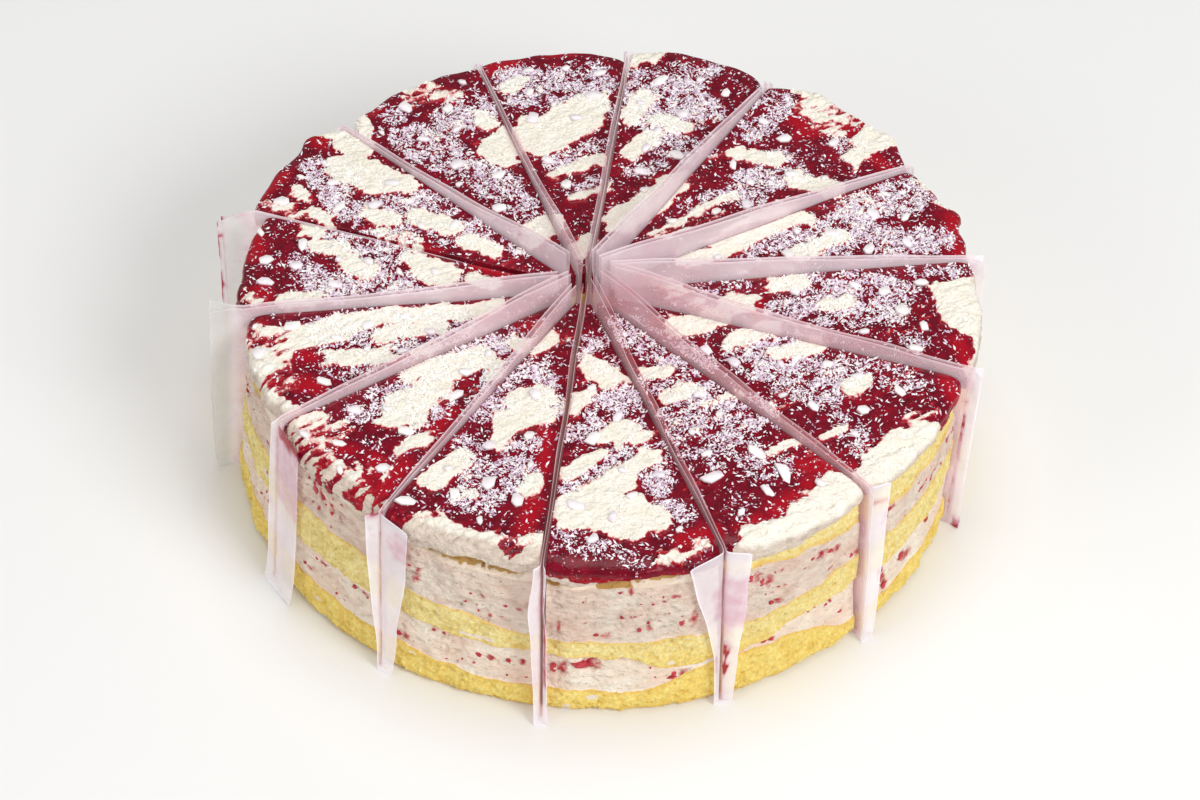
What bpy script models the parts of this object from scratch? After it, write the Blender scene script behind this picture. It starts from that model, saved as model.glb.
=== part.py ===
"""Strawberry shortcake: a round layered cream cake in fourteen portions, with a folded paper in every cut.

Metres, +Z up. The origin is the middle of the cake's flat underside, and the front of the cake faces -Y.
Angles are in degrees, counter-clockwise seen from above, from +X.
"""

import math
import random

import bmesh
import bpy
from mathutils import Matrix, Vector, noise
from mathutils.bvhtree import BVHTree

MM = 0.001

# The whole cake
CAKE_RADIUS = 133 * MM
CAKE_HEIGHT = 75.5 * MM
CUTS_MEET = Vector((-4.0 * MM, 1.3 * MM, 0.0))
SLIT_HALF = 1.15 * MM
TIP_LENGTH = 3.2 * MM
FOOT_INSET = 1.4 * MM
FOOT_HEIGHT = 3.0 * MM
RIM_DROP = 3.4 * MM
RIM_WIDTH = 7.0 * MM
BACK_RIM_DROP = 1.2 * MM
BACK_RIM_WIDTH = 4.0 * MM

# Each cut's angle at the rim, the front one first. Portion 1 lies between the first two.
CUT_ANGLES = (
    262.6, 289.5, 314.6, 342.6, 368.3, 390.7, 420.7,
    445.2, 470.4, 497.5, 522.0, 546.5, 571.7, 596.4,
)

# How far each portion has slid out or in at its top edge, and at its foot
TOP_SHIFTS = tuple(s * MM for s in (0.5, 0.5, 2.4, 4.5, 4.0, 5.0, 4.0, 1.5, 0.5, 1.5, -4.0, -6.5, -3.0, -1.5))
FOOT_SHIFTS = tuple(s * MM for s in (0, 0, 1.0, 1.0, 2.0, 2.5, 2.0, 1.0, 0.5, 0.5, 0, -0.5, 0, 0))

# How far each portion's two upper corners at the rim are rounded off, at its first and its second cut
CORNER_INSETS = (
    (2.0, 3.0), (3.5, 2.0), (3.5, 0.2), (0.2, 1.0), (1.0, 2.5), (3.5, 7.0), (8.0, 4.0),
    (6.0, 2.0), (2.0, 8.0), (4.0, 2.0), (2.0, 2.5), (2.6, 2.6), (2.6, 2.6), (2.6, 2.6),
)
CORNER_SHARPNESS = 4
# Lumps of cream that stand out at the rim, or notches: angle, half width in degrees and millimetres outwards
RIM_LUMPS = (
    (10, 3, 1.0), (17.5, 2.2, 4.0), (21.2, 1.2, -1.5), (37, 3, 3.0), (51, 3, 2.5), (75, 4, 1.0),
    (131, 2.5, -1.5), (142, 2.5, 3.0), (152, 3, 1.0), (176, 4, -1.0), (352, 5, 1.0),
)
LUMP_FROM = 0.55
LUMP_FULL = 0.9

# Height of each layer's top at the side, in millimetres, at a few angles round the cake
LAYER_TOPS = {
    "low_sponge": (
        (10, 13), (110, 14), (205, 15), (235, 15), (262, 11), (278, 11), (292, 20), (303, 21), (314, 10),
        (340, 14),
    ),
    "low_cream": (
        (10, 27), (110, 28), (205, 29), (222, 33), (250, 29), (276, 29), (283, 20.6), (294, 21.6), (304, 29),
        (340, 28),
    ),
    "middle_sponge": (
        (10, 41), (110, 42), (205, 46), (222, 51), (250, 43), (264, 37), (290, 36), (312, 42), (340, 45),
    ),
    "high_cream": (
        (10, 58), (110, 61), (205, 64), (222, 67), (250, 64), (264, 62), (276, 65), (295, 62), (325, 57),
    ),
    "thin_sponge": (
        (10, 66), (110, 65), (222, 69), (243, 67), (254, 70), (266, 66), (280, 70), (298, 67), (312, 70),
        (325, 70),
    ),
}
# A layer's edge stands out (plus) or back (minus) by this much, and the step to the next takes this height
LAYER_BULGE = {
    "low_sponge": 0.2 * MM,
    "low_cream": -0.7 * MM,
    "middle_sponge": 0.3 * MM,
    "high_cream": -0.4 * MM,
    "thin_sponge": -1.3 * MM,
    "top_cream": 0.5 * MM,
}
LAYER_STEP = 1.0 * MM
SIDE_COLUMNS = 10
SIDE_ROUGHNESS = 1.1 * MM
ROUND_GRAIN = 14.0
UPWARD_GRAIN = 60.0

# The top: jam dragged across the cream in slanting streaks
TOP_STATIONS = (0.13, 0.26, 0.39, 0.52, 0.65, 0.77, 0.88)
STREAK_ANGLE = 33.0
STREAK_PITCH = 24 * MM
STREAK_RELIEF = 0.8 * MM
STREAK_WANDER = 0.9
WANDER_ALONG = 9.0
WANDER_ACROSS = 22.0
WANDER_LEVEL = 3.0
SWELL = 0.8 * MM
SWELL_GRAIN = 30.0
SWELL_LEVEL = 8.0
LAST_STATION = 0.35
JAM_SHARE = -0.1
RIM_BAND = 0.9

# White flakes lying on the top
FLAKES_PER_PORTION = 10
FLAKE_SIZES = (7.5 * MM, 3.2 * MM)
FLAKE_THICKNESS = 1.1 * MM
FLAKE_SIDES = 6
FLAKE_TILTS = (3.0, 14.0)
FLAKE_RISE = 0.15 * MM
FLAKE_CLEARANCE = 2.5 * MM
FLAKES_APART = 11 * MM
FLAKE_TRIES = 2000
FLAKE_REACH = (0.75, 1.0)
FLAKE_WANDER = 0.25
FLAKE_SLIMNESS = (0.45, 0.7)
FLAKE_ACROSS = (0.06, 0.94)
FLAKE_AREA = (0.1, 0.8)
FLAKE_SEED = 14
# The largest ones: portion, x, y, length and width in millimetres, and the turn in degrees
LARGE_FLAKES = (
    (1, 0, -120, 6, 3.4, 60), (2, 40.5, -91, 10.5, 4.6, 45), (2, 65.2, -88.6, 10.5, 4.0, -67),
    (2, 56, -79, 10, 4.0, -38), (2, 59, -97, 6.5, 2.8, -59), (3, 76, -57, 6.5, 3.2, -50),
    (3, 93.5, -58, 5.5, 4.2, 20), (14, -36, -95, 8, 5.0, 88), (14, -26, -103, 7, 4.4, 80),
    (14, -64, -104, 8.6, 4.4, 5),
)

# The folded papers
PAPER_THICKNESS = 0.3 * MM
LEAF_OFFSET = 0.4 * MM
RIM_GAP = 1.2 * MM
LEAF_STATIONS = (0.0, 0.25, 0.5, 1.0)
# Beyond the rim a leaf first goes straight for this share of its reach, and opens after that
STRAIGHT_SHARE = 0.25
RIM_STATIONS = (1.0 + STRAIGHT_SHARE, 1.6, 2.0)
REACH_CURVE = 0.4
# Each paper's sizes in millimetres: its inner end from where the cuts meet, its height above the top at the
# inner end, half way and at the rim, its reach beyond the rim at the top and at the foot, and how much lower
# its top edge ends. Then how far the clockwise and the counter-clockwise leaf open at each of these levels.
LEAF_LEVELS = (0.0, 0.35, 0.68, 1.0)
PAPERS = (
    ((7, 9, 3.0, 0.5, 3.0, 6.5, 1.0), (0.9, 1.8, 3.2, 1.8), (1.8, 1.3, 0.7, 0.4)),
    ((6, 11, 5.0, 1.0, 2.6, 1.8, 4.5), (1.7, 2.6, 7.0, 12.5), (3.3, 5.0, 7.3, 8.0)),
    ((8, 15, 7.0, 1.5, 3.8, 3.0, 2.0), (0.6, 0.6, 0.6, 0.6), (3.2, 4.5, 5.5, 6.5)),
    ((11, 15, 8.0, 4.5, 3.8, 5.2, 1.0), (0.8, 1.0, 1.0, 1.0), (0.8, 1.2, 1.5, 1.5)),
    ((9, 12, 7.0, 1.5, 5.2, 5.4, 2.5), (1.0, 1.2, 1.4, 1.5), (1.0, 1.2, 1.4, 1.5)),
    ((6, 13, 8.0, 1.5, 0.5, 1.2, 1.5), (0.8, 1.0, 1.0, 1.0), (0.8, 1.0, 1.0, 1.0)),
    ((6, 14, 9.0, 2.5, 0.5, 1.2, 1.5), (0.8, 1.0, 1.0, 1.0), (0.8, 1.0, 1.0, 1.0)),
    ((7, 10, 5.0, 1.0, 0.8, 1.5, 2.0), (0.8, 1.0, 1.0, 1.0), (0.8, 1.0, 1.0, 1.0)),
    ((6, 11, 4.0, 0.8, 0.5, 1.5, 1.5), (0.8, 1.0, 1.0, 1.0), (0.8, 1.0, 1.0, 1.0)),
    ((9, 12, 5.0, 0.5, 0.5, 1.5, 1.5), (0.8, 1.0, 1.0, 1.0), (0.8, 1.0, 1.0, 1.0)),
    ((14, -3, -1.0, 0.0, 14.0, 13.5, 9.0), (0.8, 1.0, 1.0, 1.0), (0.8, 1.0, 1.0, 1.0)),
    ((10, 9, 6.0, 4.0, 11.0, 6.0, -3.0), (0.8, 1.0, 1.0, 1.0), (0.8, 1.5, 2.3, 3.0)),
    ((7, 12, 7.0, 2.0, 2.2, 4.2, 3.0), (0.8, 0.8, 1.0, 1.0), (15.0, 17.0, 17.0, 16.0)),
    ((8, 9, 5.0, 0.5, 2.8, 3.0, 3.0), (-1.3, 1.2, 2.7, 4.0), (5.5, 7.5, 11.2, 11.6)),
)

MATERIALS = {
    "sponge": ((0.74, 0.52, 0.13), 0.9),
    "cream": ((0.75, 0.60, 0.55), 0.75),
    "top_cream": ((0.94, 0.86, 0.74), 0.6),
    "jam": ((0.20, 0.004, 0.012), 0.25),
    "flakes": ((0.80, 0.70, 0.78), 0.6),
    "paper": ((0.78, 0.68, 0.72), 0.5),
}
LAYER_MATERIALS = ("sponge", "cream", "sponge", "cream", "sponge", "top_cream")


def clear_scene():
    for item in list(bpy.data.objects):
        bpy.data.objects.remove(item)


def make_material(name):
    colour, roughness = MATERIALS[name]
    material = bpy.data.materials.new(name)
    material.use_nodes = True
    shader = material.node_tree.nodes["Principled BSDF"]
    shader.inputs["Base Color"].default_value = (*colour, 1.0)
    shader.inputs["Roughness"].default_value = roughness
    shader.inputs["Metallic"].default_value = 0.0
    return material


def smooth_step(value):
    value = min(max(value, 0.0), 1.0)
    return value * value * (3.0 - 2.0 * value)


def blend(first, second, share):
    return first + (second - first) * share


def direction(angle):
    return Vector((math.cos(angle), math.sin(angle), 0.0))


def rim_point(angle):
    return CAKE_RADIUS * direction(math.radians(angle))


def cut_direction(index):
    """The way a cut runs, from where all cuts meet to its end at the rim."""
    return (rim_point(CUT_ANGLES[index % len(CUT_ANGLES)]) - CUTS_MEET).normalized()


def layer_top(layer, angle):
    """Height of a layer's top at this angle, joined up smoothly round the cake."""
    marks = LAYER_TOPS[layer]
    angle = angle % 360.0
    ring = [(marks[-1][0] - 360.0, marks[-1][1]), *marks, (marks[0][0] + 360.0, marks[0][1])]
    for (start, low), (end, high) in zip(ring, ring[1:]):
        if start <= angle <= end:
            return blend(low, high, smooth_step((angle - start) / (end - start))) * MM
    raise ValueError(angle)


def side_noise(angle, height):
    """A rough side: the same everywhere it is asked for."""
    place = Vector((ROUND_GRAIN * math.cos(angle), ROUND_GRAIN * math.sin(angle), UPWARD_GRAIN * height))
    return SIDE_ROUGHNESS * noise.noise(place)


def rim_lump(angle, share):
    """How far the upper wall stands out at this angle in degrees and this share of the height."""
    lump = 0.0
    for middle, half, outwards in RIM_LUMPS:
        turn = (angle - middle + 180.0) % 360.0 - 180.0
        lump += outwards * MM * math.exp(-((turn / half) ** 2))
    return lump * smooth_step((share - LUMP_FROM) / (LUMP_FULL - LUMP_FROM))


def streak(x, y):
    """From -1, deep in a jam streak, to 1, on a ridge of cream."""
    turn = math.radians(STREAK_ANGLE)
    along = x * math.cos(turn) + y * math.sin(turn)
    across = y * math.cos(turn) - x * math.sin(turn)
    wander = STREAK_WANDER * noise.noise(Vector((WANDER_ALONG * along, WANDER_ACROSS * across, WANDER_LEVEL)))
    return math.sin(math.tau * (across / STREAK_PITCH + wander))


class Portion:
    """The wedge between two neighbouring cuts: a sector whose point lies where its two cut faces meet."""

    def __init__(self, index):
        self.index = index
        first = cut_direction(index)
        second = cut_direction(index + 1)
        self.start = math.atan2(first.y, first.x)
        self.sweep = (math.atan2(second.y, second.x) - self.start) % math.tau
        bisector = direction(self.start + self.sweep / 2)
        self.point = CUTS_MEET + bisector * SLIT_HALF / math.sin(self.sweep / 2)

    def angle(self, across):
        return self.start + self.sweep * across

    def side_distance(self, across, height, bulge):
        """How far the outer side is from the wedge's point, at this height."""
        share = height / CAKE_HEIGHT
        inset = CORNER_INSETS[self.index][0 if across < 0.5 else 1] * MM
        corner = inset * share * abs(2 * across - 1) ** CORNER_SHARPNESS
        shift = blend(FOOT_SHIFTS[self.index], TOP_SHIFTS[self.index], share)
        angle = self.angle(across)
        outwards = shift + bulge - corner + rim_lump(math.degrees(angle), share)
        radius = CAKE_RADIUS + outwards + side_noise(angle, height)
        way = direction(angle)
        behind = self.point.dot(way)
        return -behind + math.sqrt(radius**2 - self.point.length_squared + behind**2)

    def place(self, across, distance, height):
        flat = self.point + distance * direction(self.angle(across))
        return Vector((flat.x, flat.y, height))

    def top_height(self, x, y, edge_distance):
        """Height of the top, which rounds over towards the rim, and less so at the back."""
        back = smooth_step(y / CAKE_RADIUS)
        inwards = smooth_step(edge_distance / blend(RIM_WIDTH, BACK_RIM_WIDTH, back))
        drop = blend(RIM_DROP, BACK_RIM_DROP, back)
        relief = STREAK_RELIEF * streak(x, y) * inwards
        swell = SWELL * noise.noise(Vector((SWELL_GRAIN * x, SWELL_GRAIN * y, SWELL_LEVEL)))
        return CAKE_HEIGHT - drop * (1.0 - inwards) + relief + swell

    def side_rows(self, across):
        """(height, bulge) from the foot up to the top layer, with a step from each layer to the next."""
        angle = math.degrees(self.angle(across))
        bulges = list(LAYER_BULGE.values())
        rows = [(0.0, -FOOT_INSET), (FOOT_HEIGHT, bulges[0])]
        for number, layer in enumerate(LAYER_TOPS):
            height = layer_top(layer, angle)
            rows.append((height - LAYER_STEP / 2, bulges[number]))
            rows.append((height + LAYER_STEP / 2, bulges[number + 1]))
        return rows


def wedge_mesh(portion):
    """One closed wedge: a rough banded side, a streaked top, flat cut faces, a blunt tip and an underside."""
    shape = bmesh.new()
    columns = [column / SIDE_COLUMNS for column in range(SIDE_COLUMNS + 1)]
    side = []
    for across in columns:
        rows = portion.side_rows(across)
        distance = portion.side_distance(across, CAKE_HEIGHT - RIM_DROP, LAYER_BULGE["top_cream"])
        rim = portion.place(across, distance, 0.0)
        rows.append((portion.top_height(rim.x, rim.y, 0.0), LAYER_BULGE["top_cream"]))
        column = []
        for height, bulge in rows:
            reach = portion.side_distance(across, height, bulge)
            column.append(shape.verts.new(portion.place(across, reach, height)))
        side.append(column)
    top = []
    for across in columns:
        edge = portion.side_distance(across, CAKE_HEIGHT - RIM_DROP, LAYER_BULGE["top_cream"])
        line = []
        for station in (*TOP_STATIONS, 1.0 - LAST_STATION * RIM_WIDTH / edge):
            flat = portion.place(across, edge * station, 0.0)
            height = portion.top_height(flat.x, flat.y, edge * (1.0 - station))
            line.append(shape.verts.new((flat.x, flat.y, height)))
        top.append([*line, side[len(top)][-1]])
    tips = []
    for across in (0.0, 1.0):
        foot = portion.place(across, TIP_LENGTH, 0.0)
        height = portion.top_height(foot.x, foot.y, CAKE_RADIUS)
        tips.append((shape.verts.new(foot), shape.verts.new((foot.x, foot.y, height))))
    (foot_right, tip_right), (foot_left, tip_left) = tips

    def face(corners, material):
        made = shape.faces.new(corners)
        made.material_index = list(MATERIALS).index(material)
        return made

    for here, there in zip(side, side[1:]):
        for row in range(len(here) - 1):
            material = LAYER_MATERIALS[row // 2]
            face((here[row], there[row], there[row + 1], here[row + 1]), material)
    for here, there in zip(top, top[1:]):
        for row in range(len(here) - 1):
            middle = (here[row].co + there[row + 1].co) / 2
            jam = streak(middle.x, middle.y) < JAM_SHARE or middle.xy.length > RIM_BAND * CAKE_RADIUS
            face((here[row], here[row + 1], there[row + 1], there[row]), "jam" if jam else "top_cream")
    face((tip_right, *(line[0] for line in top), tip_left), "top_cream")
    face((foot_left, foot_right, tip_right, tip_left), "cream")
    outlines = (
        (foot_right, (*side[0], *reversed(top[0][:-1]), tip_right), "cream"),
        (foot_left, (*side[-1], *reversed(top[-1][:-1]), tip_left), "cream"),
        (foot_right, (*(column[0] for column in side), foot_left), "sponge"),
    )
    for corner, outline, material in outlines:
        for here, there in zip(outline, outline[1:]):
            face((corner, here, there), material)
    bmesh.ops.triangulate(shape, faces=shape.faces[:])
    bmesh.ops.recalc_face_normals(shape, faces=shape.faces[:])
    mesh = bpy.data.meshes.new("wedge")
    shape.to_mesh(mesh)
    shape.free()
    return mesh


def flake_mesh(length, width, dice):
    """A broken flat chip with a few uneven sides."""
    shape = bmesh.new()
    rings = ([], [])
    for side in range(FLAKE_SIDES):
        angle = math.tau * (side + dice.uniform(-FLAKE_WANDER, FLAKE_WANDER)) / FLAKE_SIDES
        squareness = max(abs(math.cos(angle)), abs(math.sin(angle)))
        reach = dice.uniform(*FLAKE_REACH) / 2 / squareness
        flat = (length * reach * math.cos(angle), width * reach * math.sin(angle))
        for ring, height in zip(rings, (-FLAKE_THICKNESS / 2, FLAKE_THICKNESS / 2)):
            ring.append(shape.verts.new((*flat, height)))
    shape.faces.new(rings[1])
    shape.faces.new(tuple(reversed(rings[0])))
    for corner in range(FLAKE_SIDES):
        after = (corner + 1) % FLAKE_SIDES
        shape.faces.new((rings[0][corner], rings[0][after], rings[1][after], rings[1][corner]))
    bmesh.ops.recalc_face_normals(shape, faces=shape.faces[:])
    for made in shape.faces:
        made.material_index = 0
    mesh = bpy.data.meshes.new("flake")
    shape.to_mesh(mesh)
    shape.free()
    return mesh


def portion_flakes(portion, dice):
    """(place, length, width, turn) of each flake: the large ones, then more away from the edges."""
    flakes = []
    for number, x, y, length, width, turn in LARGE_FLAKES:
        if number == portion.index + 1:
            flakes.append((Vector((x * MM, y * MM, 0.0)), length * MM, width * MM, math.radians(turn)))
    tries = 0
    while len(flakes) < FLAKES_PER_PORTION and tries < FLAKE_TRIES:
        tries += 1
        across = dice.uniform(*FLAKE_ACROSS)
        distance = math.sqrt(dice.uniform(*FLAKE_AREA)) * CAKE_RADIUS
        from_cut = distance * math.sin(portion.sweep * min(across, 1.0 - across))
        place = portion.place(across, distance, 0.0)
        apart = min(((place - other[0]).length for other in flakes), default=CAKE_RADIUS)
        if from_cut > FLAKE_CLEARANCE + FLAKE_SIZES[0] / 2 and apart > FLAKES_APART:
            length = blend(FLAKE_SIZES[0], FLAKE_SIZES[1], len(flakes) / FLAKES_PER_PORTION)
            width = length * dice.uniform(*FLAKE_SLIMNESS)
            flakes.append((place, length, width, dice.uniform(0.0, math.tau)))
    return flakes


def fuse_flakes(wedge, portion, materials):
    """One union of the wedge with all its flakes."""
    dice = random.Random(FLAKE_SEED + portion.index)
    corners = [corner.co for corner in wedge.data.vertices]
    surface = BVHTree.FromPolygons(corners, [face.vertices[:] for face in wedge.data.polygons])
    flakes = bpy.data.collections.new("flakes")
    bpy.context.scene.collection.children.link(flakes)
    for place, length, width, angle in portion_flakes(portion, dice):
        flake = bpy.data.objects.new("flake", flake_mesh(length, width, dice))
        flake.data.materials.append(materials["flakes"])
        above = Vector((place.x, place.y, 2 * CAKE_HEIGHT))
        ground, normal, _, _ = surface.ray_cast(above, Vector((0.0, 0.0, -1.0)))
        lie = normal.to_track_quat("Z", "Y").to_matrix().to_4x4()
        turn = Matrix.Rotation(angle, 4, "Z")
        tilt = Matrix.Rotation(math.radians(dice.uniform(*FLAKE_TILTS)), 4, "Y")
        flake.matrix_world = Matrix.Translation(ground + FLAKE_RISE * normal) @ lie @ turn @ tilt
        flakes.objects.link(flake)
    union = wedge.modifiers.new("fuse flakes", "BOOLEAN")
    union.operation = "UNION"
    union.operand_type = "COLLECTION"
    union.collection = flakes
    union.solver = "EXACT"
    union.material_mode = "TRANSFER"
    bpy.context.view_layer.update()
    finished = wedge.evaluated_get(bpy.context.evaluated_depsgraph_get())
    fused = bpy.data.meshes.new_from_object(finished)
    wedge.modifiers.clear()
    wedge.data = fused
    for flake in list(flakes.objects):
        bpy.data.objects.remove(flake)
    bpy.data.collections.remove(flakes)


def add_portion(index, materials):
    portion = Portion(index)
    mesh = wedge_mesh(portion)
    for name in MATERIALS:
        mesh.materials.append(materials[name])
    wedge = bpy.data.objects.new(f"portion_{index + 1:02d}", mesh)
    bpy.context.scene.collection.objects.link(wedge)
    fuse_flakes(wedge, portion, materials)
    wedge.data.name = wedge.name
    return wedge


def rim_distance(index, height):
    """How far along a cut the outer sides of its two neighbours reach, at this height."""
    share = height / CAKE_HEIGHT
    share = min(share, 1.0)
    reaches = []
    for neighbour, corner in ((index - 1, 1), (index, 0)):
        shift = blend(FOOT_SHIFTS[neighbour], TOP_SHIFTS[neighbour], share)
        reaches.append(shift - CORNER_INSETS[neighbour][corner] * share * MM)
    way = cut_direction(index)
    behind = CUTS_MEET.dot(way)
    radius = CAKE_RADIUS + max(reaches)
    return -behind + math.sqrt(radius**2 - CUTS_MEET.length_squared + behind**2)


def leaf_opening(openings, level):
    """How far a leaf opens at this level, joined up between the levels it is given at."""
    marks = list(zip(LEAF_LEVELS, openings))
    for (low, first), (high, second) in zip(marks, marks[1:]):
        if low <= level <= high:
            return blend(first, second, (level - low) / (high - low)) * MM
    raise ValueError(level)


def paper_mesh(index):
    """A strip folded along its foot: two leaves that stand in the cut and open beyond the rim."""
    sizes, clockwise, counter = PAPERS[index]
    inner, high, half, low, reach, foot_reach, drop = (size * MM for size in sizes)
    way = cut_direction(index)
    sideways = Vector((-way.y, way.x, 0.0))
    rim = rim_distance(index, CAKE_HEIGHT)

    def top_at(distance):
        share = (distance - inner) / (rim - inner)
        if share < 0.5:
            return CAKE_HEIGHT + blend(high, half, smooth_step(2 * share))
        return CAKE_HEIGHT + blend(half, low, min(2 * share - 1, 1.0))

    def leaf_point(station, level, side, skin):
        """station 0 is the inner end, 1 the rim, 2 the outer end. level 0 is the fold, 1 the leaf's top."""
        if station <= 1.0:
            distance = blend(inner, rim, station)
            height = top_at(distance) * level
            outside = 0.0
        else:
            outside = station - 1.0
            height = (top_at(rim) - drop * outside) * level
            beyond = blend(foot_reach, reach, level**REACH_CURVE) * outside
            gap = RIM_GAP * min(outside / STRAIGHT_SHARE, 1.0)
            distance = blend(rim_distance(index, 0.0), rim, level) + gap + beyond
        opened = smooth_step((outside - STRAIGHT_SHARE) / (1.0 - STRAIGHT_SHARE))
        open_here = leaf_opening(counter if side > 0 else clockwise, level) * opened
        across = side * (LEAF_OFFSET + open_here + skin)
        lift = PAPER_THICKNESS if level == 0 and skin < 0 else 0.0
        return CUTS_MEET + way * distance + sideways * across + Vector((0.0, 0.0, height + lift))

    shape = bmesh.new()
    stations = (*LEAF_STATIONS, *RIM_STATIONS)
    profile = [(level, -1) for level in reversed(LEAF_LEVELS)] + [(level, 1) for level in LEAF_LEVELS]
    skins = []
    for skin in (PAPER_THICKNESS / 2, -PAPER_THICKNESS / 2):
        rows = []
        for station in stations:
            rows.append([shape.verts.new(leaf_point(station, *place, skin)) for place in profile])
        skins.append(rows)
    outer, inner_skin = skins

    def split(first, second, third, fourth):
        shape.faces.new((first, second, third))
        shape.faces.new((first, third, fourth))

    for rows in skins:
        for here, there in zip(rows, rows[1:]):
            for corner in range(len(profile) - 1):
                split(here[corner], there[corner], there[corner + 1], here[corner + 1])
    for near, near_after, far, far_after in zip(outer, outer[1:], inner_skin, inner_skin[1:]):
        for edge in (0, -1):
            split(near[edge], near_after[edge], far_after[edge], far[edge])
    for end in (0, -1):
        for corner in range(len(profile) - 1):
            near, far = outer[end], inner_skin[end]
            split(near[corner], near[corner + 1], far[corner + 1], far[corner])
    bmesh.ops.recalc_face_normals(shape, faces=shape.faces[:])
    mesh = bpy.data.meshes.new(f"paper_{index + 1:02d}")
    shape.to_mesh(mesh)
    shape.free()
    return mesh


def add_paper(index, materials):
    mesh = paper_mesh(index)
    mesh.materials.append(materials["paper"])
    paper = bpy.data.objects.new(mesh.name, mesh)
    bpy.context.scene.collection.objects.link(paper)
    return paper


def main():
    clear_scene()
    materials = {name: make_material(name) for name in MATERIALS}
    for index in range(len(CUT_ANGLES)):
        add_portion(index, materials)
        add_paper(index, materials)


main()
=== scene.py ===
# %% [markdown]
# # A strawberry shortcake in fourteen portions
# The real cake is a round of sponge, berry cream, sponge, berry cream, a thin last sponge and a coat of
# ivory cream. Strawberry jam is dragged over the coat, white flakes are scattered on it, and a folded
# paper stands in every cut. The solids came first. They load here as a fixed frame, and this lesson
# dresses them.

# %% Load the solids
import itertools
import math
import random

import bmesh
import bpy
import numpy as np
from mathutils import Matrix, Vector, noise


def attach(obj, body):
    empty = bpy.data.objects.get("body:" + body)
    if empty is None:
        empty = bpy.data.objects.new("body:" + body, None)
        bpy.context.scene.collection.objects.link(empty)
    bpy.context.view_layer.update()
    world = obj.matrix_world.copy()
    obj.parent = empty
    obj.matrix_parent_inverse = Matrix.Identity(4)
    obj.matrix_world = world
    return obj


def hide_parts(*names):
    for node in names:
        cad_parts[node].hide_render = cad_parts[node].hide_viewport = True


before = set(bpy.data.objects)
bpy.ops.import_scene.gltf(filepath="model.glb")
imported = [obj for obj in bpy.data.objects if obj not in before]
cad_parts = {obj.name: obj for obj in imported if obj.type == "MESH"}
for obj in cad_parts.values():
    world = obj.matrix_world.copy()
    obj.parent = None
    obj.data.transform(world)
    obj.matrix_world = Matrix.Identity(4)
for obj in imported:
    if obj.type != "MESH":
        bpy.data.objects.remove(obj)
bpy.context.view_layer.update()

MM = 0.001
print("solids:", len(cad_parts))

# %% [markdown]
# ## Sizes
# The cuts and the wall repeat the few driving sizes of the solids, so that every layer made here fills the
# same wedge. Angles are in degrees, counter-clockwise from +X, and the front of the cake faces -Y.

# %% Driving sizes
CAKE_RADIUS = 133 * MM
CAKE_HEIGHT = 75.5 * MM
CUTS_MEET = np.array((-4.0, 1.3)) * MM
SLIT_HALF = 1.15 * MM
TIP_LENGTH = 3.2 * MM
FOOT_INSET = 1.4 * MM
FOOT_HEIGHT = 3.0 * MM
RIM_DROP, RIM_WIDTH = 3.4 * MM, 7.0 * MM
BACK_RIM_DROP, BACK_RIM_WIDTH = 1.2 * MM, 4.0 * MM
CUT_ANGLES = (
    262.6, 289.5, 314.6, 342.6, 368.3, 390.7, 420.7,
    445.2, 470.4, 497.5, 522.0, 546.5, 571.7, 596.4,
)
# How far each portion has slid outwards, at its top and at its foot
TOP_SHIFTS = np.array((0.5, 0.5, 2.4, 4.5, 4.0, 5.0, 4.0, 1.5, 0.5, 1.5, -4.0, -6.5, -3.0, -1.5)) * MM
FOOT_SHIFTS = np.array((0, 0, 1.0, 1.0, 2.0, 2.5, 2.0, 1.0, 0.5, 0.5, 0, -0.5, 0, 0)) * MM
# How far each portion's two upper corners are rounded off at the rim, in millimetres
CORNER_INSETS = (
    (2, 3), (3.5, 2), (3.5, 0.2), (0.2, 1), (1, 2.5), (3.5, 7), (8, 4),
    (6, 2), (2, 8), (4, 2), (2, 2.5), (2.6, 2.6), (2.6, 2.6), (2.6, 2.6),
)
# Lumps and notches of the rim: angle, half width in degrees and millimetres outwards
RIM_LUMPS = (
    (10, 3, 1), (17.5, 2.2, 4), (21.2, 1.2, -1.5), (37, 3, 3), (51, 3, 2.5), (75, 4, 1),
    (131, 2.5, -1.5), (142, 2.5, 3), (152, 3, 1), (176, 4, -1), (352, 5, 1),
)
# The lumps start at the first share of the height and are full at the second
LUMP_FROM, LUMP_FULL = 0.55, 0.9
CORNER_POWER = 4
# Each layer's top at the wall: angle in degrees and height in millimetres
LAYER_TOPS = {
    "low_sponge": (
        (10, 13), (110, 14), (205, 15), (235, 15), (262, 11), (278, 11), (292, 20), (303, 21),
        (314, 10), (340, 14),
    ),
    "low_cream": (
        (10, 27), (110, 28), (205, 29), (222, 33), (250, 29), (276, 29), (283, 20.6), (294, 21.6),
        (304, 29), (340, 28),
    ),
    "middle_sponge": (
        (10, 41), (110, 42), (205, 46), (222, 51), (250, 43), (264, 37), (290, 36), (312, 42), (340, 45),
    ),
    "high_cream": (
        (10, 58), (110, 61), (205, 64), (222, 67), (250, 64), (264, 62), (276, 65), (295, 62), (325, 57),
    ),
    "thin_sponge": (
        (10, 66), (110, 65), (222, 69), (243, 67), (254, 70), (266, 66), (280, 70), (298, 67),
        (312, 70), (325, 70),
    ),
}
LAYERS = (*LAYER_TOPS, "top_cream")
# How far each layer stands out of the wall, and the height over which one gives way to the next
LAYER_BULGE = np.array((0.2, -0.7, 0.3, -0.4, -1.3, 0.5)) * MM
LAYER_STEP = 1.0 * MM
THINNEST_LAYER = 0.35 * MM
SIDE_ROUGHNESS = 1.1 * MM
NOISE_AROUND, NOISE_UPWARDS = 14.0, 60.0
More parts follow.
